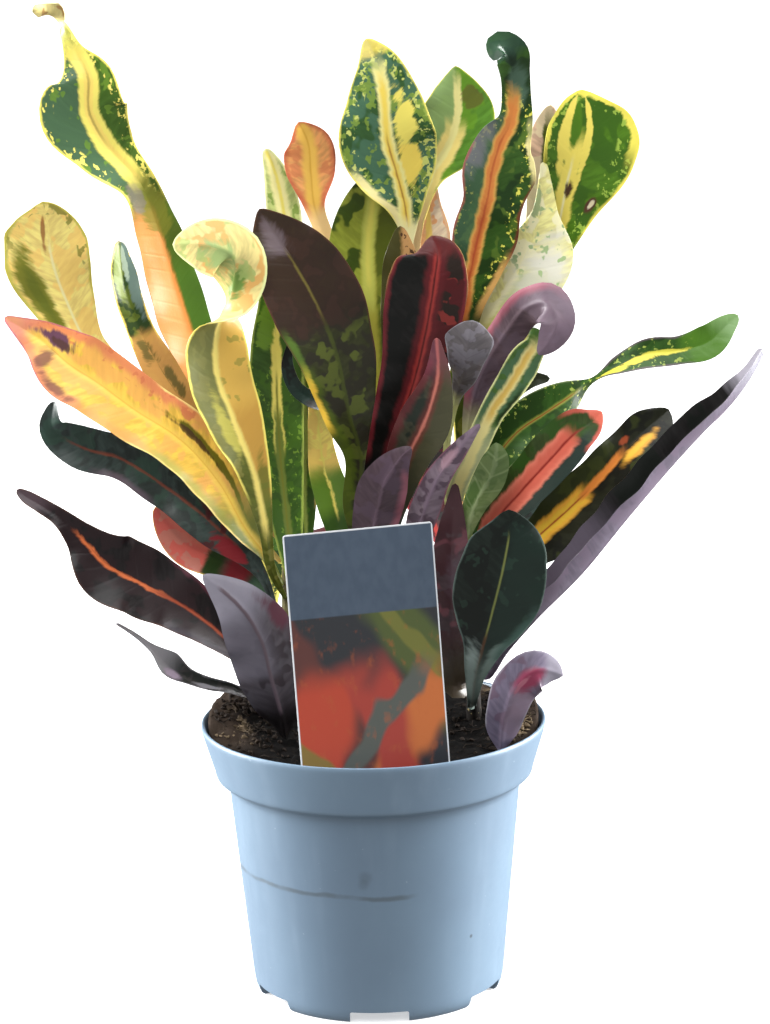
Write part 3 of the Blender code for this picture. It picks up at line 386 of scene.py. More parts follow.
             (86, -21, 225, 1.5, -20)]),
    "leaf_orange_rib": dict(
        start=("stem_right", 132), lean=0.25,
        rib=[(44, 0, 150, 1.6, 0), (53, -1, 165, 4.8, -10), (64, -2, 175, 9.5, -15),
             (76, -3, 186, 12.8, -20), (87, -3, 197, 11.5, -20), (97, -2, 208, 10, -20),
             (106, -1, 216, 8.6, -10), (112, 0, 221, 2.8, 0)]),
    "leaf_long_purple": dict(
        start=("stem_right", 122),
        rib=[(43, -10, 122, 1.6, 0), (50, -14, 133, 2.8, 5), (59, -19, 145, 4.4, 15),
             (78, -22, 165, 5.6, 20), (95, -23, 186, 5.6, 20), (110, -21, 203, 5.3, 20),
             (123, -19, 216.5, 5, 20), (133, -16, 225.5, 3.9, 15), (140, -14, 234, 2.5, 10),
             (146.5, -12, 245, 1.2, 0)],
        face=UP, cup=1.6),
    "leaf_oval_front": dict(
        start=("stem_right", 110),
        rib=[(37, -12, 112, 1.6, 0), (37, -22, 117, 1.8, 0), (38, -28, 128, 3.7, 0),
             (41, -34, 141, 7.5, 0), (45, -38, 157, 15.3, 0), (49, -40, 174, 15.6, 0),
             (51, -39, 186, 11, 0), (51, -38, 193, 3, 0)]),
    "leaf_magenta_low": dict(
        start=("soil", 47, -31),
        rib=[(47.5, -33.5, 107, 5.6, 180), (49, -37.5, 117, 7.3, 180),
             (53.5, -40, 128, 8.2, 180), (60, -40, 133, 7.6, 180), (66, -38, 132, 5, 180),
             (70, -37, 130, 1.2, 180)]),
    # the plant's back
    "leaf_back_centre_top": dict(
        start=("stem_centre", 164), face=UP,
        rib=[(3, 32, 181, 2, 0), (4, 52, 209, 10, 0), (6, 70, 238, 13, 0), (8, 84, 259, 8, 0),
             (9, 92, 270, 1.5, 0)]),
    "leaf_back_right_low": dict(
        start=("stem_right", 128), face=UP,
        rib=[(47, 18, 146, 2, 0), (62, 46, 163, 10, 0), (76, 74, 171, 12, 0),
             (86, 94, 170, 8, 0), (91, 105, 165, 1.5, 0)]),
    "leaf_back_left_low": dict(
        start=("stem_left", 120), face=UP,
        rib=[(-38, 26, 138, 2, 0), (-43, 52, 150, 10, 0), (-50, 80, 160, 12, 0),
             (-55, 103, 162, 8, 0), (-57, 118, 159, 1.5, 0)]),
    "leaf_back_centre_low": dict(
        start=("stem_centre", 122), face=UP,
        rib=[(2, 32, 139, 2, 0), (4, 58, 149, 10, 0), (6, 84, 152, 12, 0),
             (8, 104, 148, 8, 0), (8, 116, 141, 1.5, 0)]),
    "leaf_back_right_mid": dict(
        start=("stem_right", 146), face=UP,
        rib=[(28, 26, 163, 2, 0), (21, 48, 180, 11, 0), (19, 72, 193, 12, 0),
             (20, 92, 198, 8, 0), (21, 103, 197, 1.5, 0)]),
    "leaf_back_left_mid": dict(
        start=("stem_left", 168), face=UP,
        rib=[(-30, 28, 187, 2, 0), (-29, 50, 206, 9, 0), (-28, 74, 221, 11, 0),
             (-29, 92, 228, 8, 0), (-30, 104, 229, 1.5, 0)]),
    "leaf_back_left_top": dict(
        start=("stem_centre", 168), face=UP,
        rib=[(-11, 24, 186, 2, 0), (-22, 42, 210, 8, 0), (-28, 57, 228, 10, 0),
             (-32, 69, 238, 7, 0), (-34, 77, 242, 1.5, 0)]),
    "leaf_back_right_top": dict(
        start=("stem_right", 158), face=UP,
        rib=[(36, 22, 177, 2, 0), (41, 42, 200, 8, 0), (45, 58, 219, 10, 0), (48, 70, 230, 7, 0),
             (50, 78, 234, 1.5, 0)]),
    "leaf_back_right_floor": dict(
        start=("stem_centre", 114), face=UP,
        rib=[(13, 32, 126, 2, 0), (28, 56, 137, 9, 0), (40, 78, 142, 11, 0),
             (48, 95, 139, 7, 0), (52, 106, 132, 1.5, 0)]),
    "leaf_back_left_floor": dict(
        start=("stem_centre", 130), face=UP,
        rib=[(-8, 30, 145, 2, 0), (-18, 56, 155, 9, 0), (-26, 80, 157, 11, 0),
             (-30, 98, 153, 7, 0), (-32, 110, 146, 1.5, 0)]),
}

# Studio: each softbox's place, aim, size and watts, in metres, then the sky and the surround
SOFTBOXES = {
    "left_softbox": ((-1.1, 0.3, 0.35), (0, 0, 0.15), (0.7, 1.2), 72.0),
    "right_softbox": ((1.1, 0.25, 0.35), (0, 0, 0.15), (0.7, 1.2), 76.0),
    "front_softbox": ((-0.6, -1.5, 1.2), (0, 0, 0.2), (0.9, 0.9), 6.5),
}
SKY_ENERGY = 3.4
SKY_ANGLE = 70
SKY_TILT = 26
SURROUND_BELOW = 0.45
SURROUND_ABOVE = 0.22
SURROUND_SEEN = 0.98
FLOOR_SIZE = 60
FLOOR_GLOW = 0.5

# Camera: metres and degrees
CAMERA_LENS = 132.1
CAMERA_AIM = (0.0061, 0.0, 0.1843)
CAMERA_DISTANCE = 1.4
CAMERA_PITCH = 13.12
CAMERA_ROLL = -1.25

# ---------------------------------------------------------------- modelling by hand


def start_fresh():
    """Object mode with nothing selected, because an operator acts on all that is."""
    if bpy.context.object and bpy.context.object.mode != "OBJECT":
        bpy.ops.object.mode_set(mode="OBJECT")
    bpy.ops.object.select_all(action="DESELECT")


def named(name):
    """The object just added, under its own name."""
    piece = bpy.context.object
    piece.name = name
    piece.data.name = name
    return piece


def pick(piece):
    """Selects one piece alone and makes it the active one."""
    start_fresh()
    piece.select_set(True)
    bpy.context.view_layer.objects.active = piece


def apply_modifier(piece, kind, **settings):
    """Adds a modifier with its settings and applies it at once."""
    pick(piece)
    modifier = piece.modifiers.new(kind.title(), kind)
    for key, value in settings.items():
        setattr(modifier, key, value)
    bpy.ops.object.modifier_apply(modifier=modifier.name)


def settle(piece, turn=None):
    """Puts the piece's place into its mesh, so that the object itself sits at the origin."""
    if turn is not None:
        piece.matrix_world = turn
    pick(piece)
    bpy.ops.object.transform_apply(location=True, rotation=True, scale=True)


def smooth(piece, degrees):
    """Smooth shading wherever two faces meet at less than the angle."""
    pick(piece)
    bpy.ops.object.shade_smooth_by_angle(angle=math.radians(degrees))


def start_rings(name, radius, sides, middle):
    """A level disc, left in edit mode with its edge selected, ready to be drawn out."""
    start_fresh()
    bpy.ops.mesh.primitive_circle_add(
        vertices=sides, radius=radius * MM, fill_type="NGON", location=middle
    )
    body = named(name)
    settle(body)
    bpy.ops.object.mode_set(mode="EDIT")
    bpy.ops.mesh.select_mode(type="EDGE")
    bpy.ops.mesh.select_all(action="SELECT")
    return body


def draw_out(move, size, middle):
    """Draws the selected edges out by a move, then sizes them about a middle."""
    bpy.ops.mesh.extrude_edges_move(TRANSFORM_OT_translate={"value": move})
    bpy.ops.transform.resize(value=size, center_override=middle)


def end_rings():
    """Fills the last ring, turns every face outward and leaves edit mode."""
    bpy.ops.mesh.edge_face_add()
    bpy.ops.mesh.select_mode(type="VERT")
    bpy.ops.mesh.select_all(action="SELECT")
    bpy.ops.mesh.normals_make_consistent(inside=False)
    bpy.ops.object.mode_set(mode="OBJECT")


def turned(name, profile, steps):
    """A closed body of (radius, height) points: a disc whose edge is drawn out ring by ring."""
    radius, height = profile[0]
    body = start_rings(name, radius, steps, (0, 0, height * MM))
    for next_radius, next_height in profile[1:]:
        move = (0, 0, (next_height - height) * MM)
        size = next_radius / radius
        draw_out(move, (size, size, 1), (0, 0, next_height * MM))
        radius, height = next_radius, next_height
    end_rings()
    return body


def cut_away(piece, cutter):
    """Cuts one shape out of the piece and removes that shape."""
    apply_modifier(piece, "BOOLEAN", operation="DIFFERENCE", solver="EXACT", object=cutter)
    bpy.data.objects.remove(cutter, do_unlink=True)


# ---------------------------------------------------------------- node trees


def ink(code):
    """The linear colour of a six-figure sRGB code."""
    parts = [int(code[place : place + 2], 16) / 255 for place in (0, 2, 4)]
    return tuple(c / 12.92 if c <= 0.04045 else ((c + 0.055) / 1.055) ** 2.4 for c in parts)


class Tree:
    """A node tree under construction. Each call adds a node and gives back its output."""

    def __init__(self, tree):
        self.tree = tree

    def node(self, kind, values=None, **settings):
        made = self.tree.nodes.new("ShaderNode" + kind)
        for key, value in settings.items():
            setattr(made, key, value)
        for key, value in (values or {}).items():
            self.put(made.inputs[key], value)
        return made

    def put(self, socket, value):
        if isinstance(value, bpy.types.NodeSocket):
            self.tree.links.new(value, socket)
        elif isinstance(value, tuple) and len(socket.default_value) == 4:
            socket.default_value = (*value, 1.0)
        else:
            socket.default_value = value

    def maths(self, operation, *values):
        return self.node("Math", dict(enumerate(values)), operation=operation).outputs[0]

    def times(self, first, second):
        return self.maths("MULTIPLY", first, second)

    def times_plus(self, first, second, third):
        return self.maths("MULTIPLY_ADD", first, second, third)

    def plus(self, first, second):
        return self.maths("ADD", first, second)

    def minus(self, first, second):
        return self.maths("SUBTRACT", first, second)

    def split(self, vector):
        return self.node("SeparateXYZ", {0: vector}).outputs

    def ramp(self, value, low, high, to_low=0.0, to_high=1.0):
        values = {0: value, 1: low, 2: high, 3: to_low, 4: to_high}
        return self.node("MapRange", values, interpolation_type="SMOOTHSTEP").outputs[0]

    def mix(self, factor, first, second):
        node = self.node("Mix", data_type="RGBA")
        self.put(node.inputs[0], factor)
        self.put(node.inputs[6], first)
        self.put(node.inputs[7], second)
        return node.outputs[2]

    def soft_step(self, value, level, softness, to_low=0.0, to_high=1.0):
        low = self.minus(level, softness)
        high = self.plus(level, softness)
        return self.ramp(value, low, high, to_low, to_high)

    def noise(self, vector, scale, detail=3.0, roughness=0.5):
        values = {"Vector": vector, "Scale": scale, "Detail": detail, "Roughness": roughness}
        return self.node("TexNoise", values).outputs[0]

    def object_place(self):
        return self.node("TexCoord").outputs["Object"]

    def bump(self, height, strength, distance, under=None):
        values = {"Height": height, "Strength": strength, "Distance": distance * MM}
        if under is not None:
            values["Normal"] = under
        return self.node("Bump", values).outputs[0]


def new_material(name, **values):
    """A material's tree and its shader, with what is the same all over set on the shader."""
    material = bpy.data.materials.new(name)
    material.use_nodes = True
    shader = material.node_tree.nodes["Principled BSDF"]
    for key, value in values.items():
        socket = shader.inputs[key.replace("_", " ")]
        socket.default_value = value
    return material, Tree(material.node_tree), shader


def finish_skin(tree, shader, colour, rough, normal):
    """Joins the colour, the roughness and the relief to the shader."""
    tree.put(shader.inputs["Base Color"], colour)
    tree.put(shader.inputs["Roughness"], rough)
    tree.put(shader.inputs["Normal"], normal)


def new_group(name, inputs, outputs):
    """A node group, with its tree, its inputs by name and a call that sets an output."""
    group = bpy.data.node_groups.new(name, "ShaderNodeTree")
    kinds = {"f": "NodeSocketFloat", "c": "NodeSocketColor", "v": "NodeSocketVector"}
    for direction, sockets in (("INPUT", inputs), ("OUTPUT", outputs)):
        for label, kind in sockets.items():
            group.interface.new_socket(label, in_out=direction, socket_type=kinds[kind])
    tree = Tree(group)
    ends = group.nodes.new("NodeGroupOutput")
    begins = group.nodes.new("NodeGroupInput")

    def give(label, value):
        tree.put(ends.inputs[label], value)

    return group, tree, begins.outputs, give


# ---------------------------------------------------------------- leaf paint


def make_ruler():
    """Where a point lies on its leaf: u and v, and millimetres from the rib and the edges."""
    outputs = {label: "f" for label in ("u", "v", "all", "rib", "edge", "right", "left")}
    outputs.update({"right_edge": "f", "left_edge": "f", "ragged": "f", "grain": "f"})
    outputs.update({"vein": "f", "place": "v", "spots": "v"})
    group, tree, _, give = new_group("leaf_ruler", {}, outputs)
    u, v_share, _ = tree.split(tree.node("UVMap", uv_map="blade").outputs[0])
    give("u", u)
    give("v", tree.times_plus(v_share, 2.0, -1.0))
    ruler = tree.node("Attribute", attribute_name="ruler_mm").outputs["Vector"]
    along, across, edge = tree.split(ruler)
    rib = tree.maths("ABSOLUTE", across)
    on_left = tree.maths("LESS_THAN", across, 0.0)
    on_right = tree.minus(1.0, on_left)
    give("all", -FAR)
    give("rib", rib)
    give("edge", edge)
    give("right", tree.times(across, -1.0))
    give("left", across)
    give("right_edge", tree.times_plus(on_left, FAR, edge))
    give("left_edge", tree.times_plus(on_right, FAR, edge))
    feather = tree.node("Attribute", attribute_name="feather_mm").outputs["Vector"]
    ragged = tree.noise(feather, 0.22, detail=4.0, roughness=0.62)
    give("ragged", tree.times_plus(ragged, 4.0, -2.0))
    give("grain", tree.noise(tree.object_place(), 900.0, detail=4.0, roughness=0.6))
    course = tree.split(feather)[0]
    wander = tree.noise(feather, 0.12, detail=1.0)
    course = tree.times_plus(wander, 4.0, course)
    give("vein", tree.maths("PINGPONG", course, VEIN_SPACING / 2))
    give("place", feather)
    seed = tree.split(feather)[2]
    give("spots", tree.node("CombineXYZ", {0: along, 1: across, 2: seed}).outputs[0])
    return group


def brush_window(tree, ends):
    """How far a stroke covers between its ends along the leaf, with ragged, faded ends."""
    u = tree.times_plus(ends["ragged"], 0.012, ends["u"])
    opened = tree.soft_step(u, ends["from"], ends["fade"])
    closed = tree.soft_step(u, ends["to"], ends["fade"], 1.0, 0.0)
    return tree.times(opened, closed)


def new_brush(name, labels, **more):
    """A node group that lays `paint` over `under`, with a number input for each label."""
    inputs = {"under": "c", "paint": "c", **more, **{label: "f" for label in labels}}
    return new_group(name, inputs, {"colour": "c"})


def lay_paint(tree, ends, give, cover):
    """A brush's last step: its paint over what lies under it, where its stroke covers."""
    cover = tree.times(cover, ends["strength"])
    give("colour", tree.mix(cover, ends["under"], ends["paint"]))


def make_band_brush():
    """A stroke along the leaf: paint where `where` is under `reach`, both in millimetres."""
    labels = ("where", "reach", "ragged", "rag", "soft", "u", "from", "to", "fade", "strength")
    group, tree, ends, give = new_brush("leaf_band_brush", labels)
    where = tree.times_plus(ends["ragged"], ends["rag"], ends["where"])
    cover = tree.soft_step(where, ends["reach"], ends["soft"], 1.0, 0.0)
    cover = tree.times(cover, brush_window(tree, ends))
    lay_paint(tree, ends, give, cover)
    return group


def make_patch_brush():
    """A ragged oval of paint about a point of the leaf in u and v."""
    labels = ("u", "v", "at_u", "at_v", "size_u", "size_v", "ragged", "rag", "soft", "strength")
    group, tree, ends, give = new_brush("leaf_patch_brush", labels)
    du = tree.maths("DIVIDE", tree.minus(ends["u"], ends["at_u"]), ends["size_u"])
    dv = tree.maths("DIVIDE", tree.minus(ends["v"], ends["at_v"]), ends["size_v"])
    square = tree.times_plus(du, du, tree.times(dv, dv))
    reach = tree.maths("SQRT", square)
    reach = tree.times_plus(ends["ragged"], ends["rag"], reach)
    cover = tree.soft_step(reach, 1.0, ends["soft"], 1.0, 0.0)
    lay_paint(tree, ends, give, cover)
    return group


def make_speck_brush():
    """Specks of paint of a size in millimetres, as dense as `cover`, within a band."""
    labels = ("where", "reach", "size", "cover", "ragged", "u", "from", "to", "fade", "strength")
    group, tree, ends, give = new_brush("leaf_speck_brush", labels, spots="v")
    scale = tree.maths("DIVIDE", 0.5, ends["size"])
    speck = tree.noise(ends["spots"], scale, detail=2.0, roughness=0.6)
    cut = tree.times_plus(ends["cover"], -0.3, 0.72)
    cover = tree.ramp(speck, cut, tree.plus(cut, 0.05))
    high = tree.plus(ends["reach"], 0.8)
    inside = tree.ramp(ends["where"], ends["reach"], high, 1.0, 0.0)
    cover = tree.times(cover, inside)
    cover = tree.times(cover, brush_window(tree, ends))
    lay_paint(tree, ends, give, cover)
    return group


def band(colour, where, reach=0.0, u0=-1.0, u1=2.0, rag=0.8, soft=0.5, fade=0.03, strength=1.0):
    """A stroke along the leaf, from u0 to u1: where a ruler is under its reach."""
    values = dict(reach=reach, rag=rag, soft=soft, fade=fade, strength=strength)
    values.update({"from": u0, "to": u1})
    return "band", ink(colour), where, values


def patch(colour, u, v, du, dv, rag=0.3, soft=0.2, strength=1.0):
    """An oval about u and v, with half sizes du and dv."""
    values = dict(at_u=u, at_v=v, size_u=du, size_v=dv, rag=rag, soft=soft, strength=strength)
    return "patch", ink(colour), None, values


def specks(colour, size, cover, u0=-1.0, u1=2.0, where="all", reach=0.0, strength=1.0):
    """Specks of a size, as dense as the cover, from u0 to u1."""
    values = dict(size=size, cover=cover, reach=reach, fade=0.03, strength=strength)
    values.update({"from": u0, "to": u1})
    return "specks", ink(colour), where, values


def veins(colour, width=0.5, strength=0.5, u0=-1.0, u1=2.0):
    """Thin lines along the side veins."""
    return band(colour, "vein", width, u0, u1, rag=0.1, soft=0.35, strength=strength)


def leaf_finish(name, ground, layers, roughness=0.33, relief=0.12):
    """A leaf's skin: a ground colour with strokes of paint laid over it, one after another."""
    material, tree, shader = new_material(
        name, Specular_IOR_Level=0.28, Coat_Weight=0.1, Coat_Roughness=0.18
    )
    ruler = tree.node("Group", node_tree=RULER).outputs
    mottle = tree.noise(ruler["place"], 0.5, detail=3.0)
    paler = tuple(min(1.0, part * 1.12 + 0.003) for part in ink(ground))
    darker = tuple(part * 0.8 for part in ink(ground))
    colour = tree.mix(tree.ramp(mottle, 0.3, 0.7), darker, paler)
    for kind, paint, where, values in layers:
        brush = tree.node("Group", node_tree=BRUSHES[kind])
        tree.put(brush.inputs["under"], colour)
        tree.put(brush.inputs["paint"], paint)
        for label, value in values.items():
            tree.put(brush.inputs[label], value)
        for label in ("u", "v", "ragged", "spots"):
            if label in brush.inputs:
                tree.put(brush.inputs[label], ruler[label])
        if where:
            tree.put(brush.inputs["where"], ruler[where])
        colour = brush.outputs[0]
    rough = tree.times_plus(ruler["grain"], 0.22, roughness - 0.11)
    groove = tree.ramp(ruler["vein"], 0.0, 1.1)
    fine = tree.bump(ruler["grain"], 0.12, 0.25)
    finish_skin(tree, shader, colour, rough, tree.bump(groove, relief, 0.35, under=fine))
    return material


# Inks, from dark to pale within each family
NIGHT = "171a17"
SOOT = "231e1d"
PITCH = "2c2a1e"
BOTTLE = "263c16"
FOREST = "3a5a1c"
GRASS = "4f7a1f"
FRESH = "6f9430"
LIME = "9db04e"
SAGE = "a8b882"
TEAL = "2f4a3c"
SEA = "4c6a50"
MOSS = "50601a"
OLIVE = "7a7c2a"
KHAKI = "97904a"
BROWN = "4c3320"
RUST = "8f4420"
TAN = "b08a52"
WINE = "4b191d"
CRIMSON = "7a2228"
RED = "a83a34"
ORANGE = "e88f48"
PEACH = "f6c27a"
AMBER = "dca234"
GOLD = "f2c644"
BUTTER = "f8d66e"
LEMON = "f5e670"
CREAM = "f6f0b4"
MAGENTA = "8a4458"
MAUVE = "6c5a66"
LILAC = "8f8090"


def rib(colour, reach, u0=-1.0, u1=2.0, **more):
    """Paint along the midrib, as far as its reach to both sides."""
    return band(colour, "rib", reach, u0, u1, **more)


def rim(colour, reach=0.8, u0=-1.0, u1=2.0, **more):
    """Paint along both edges, as far in as its reach."""
    more.setdefault("rag", 0.3)
    more.setdefault("soft", 0.4)
    return band(colour, "edge", reach, u0, u1, **more)


def stretch(colour, u0=-1.0, u1=2.0, **more):
    """Paint from edge to edge between two places along the leaf."""
    return band(colour, "all", 0.0, u0, u1, **more)


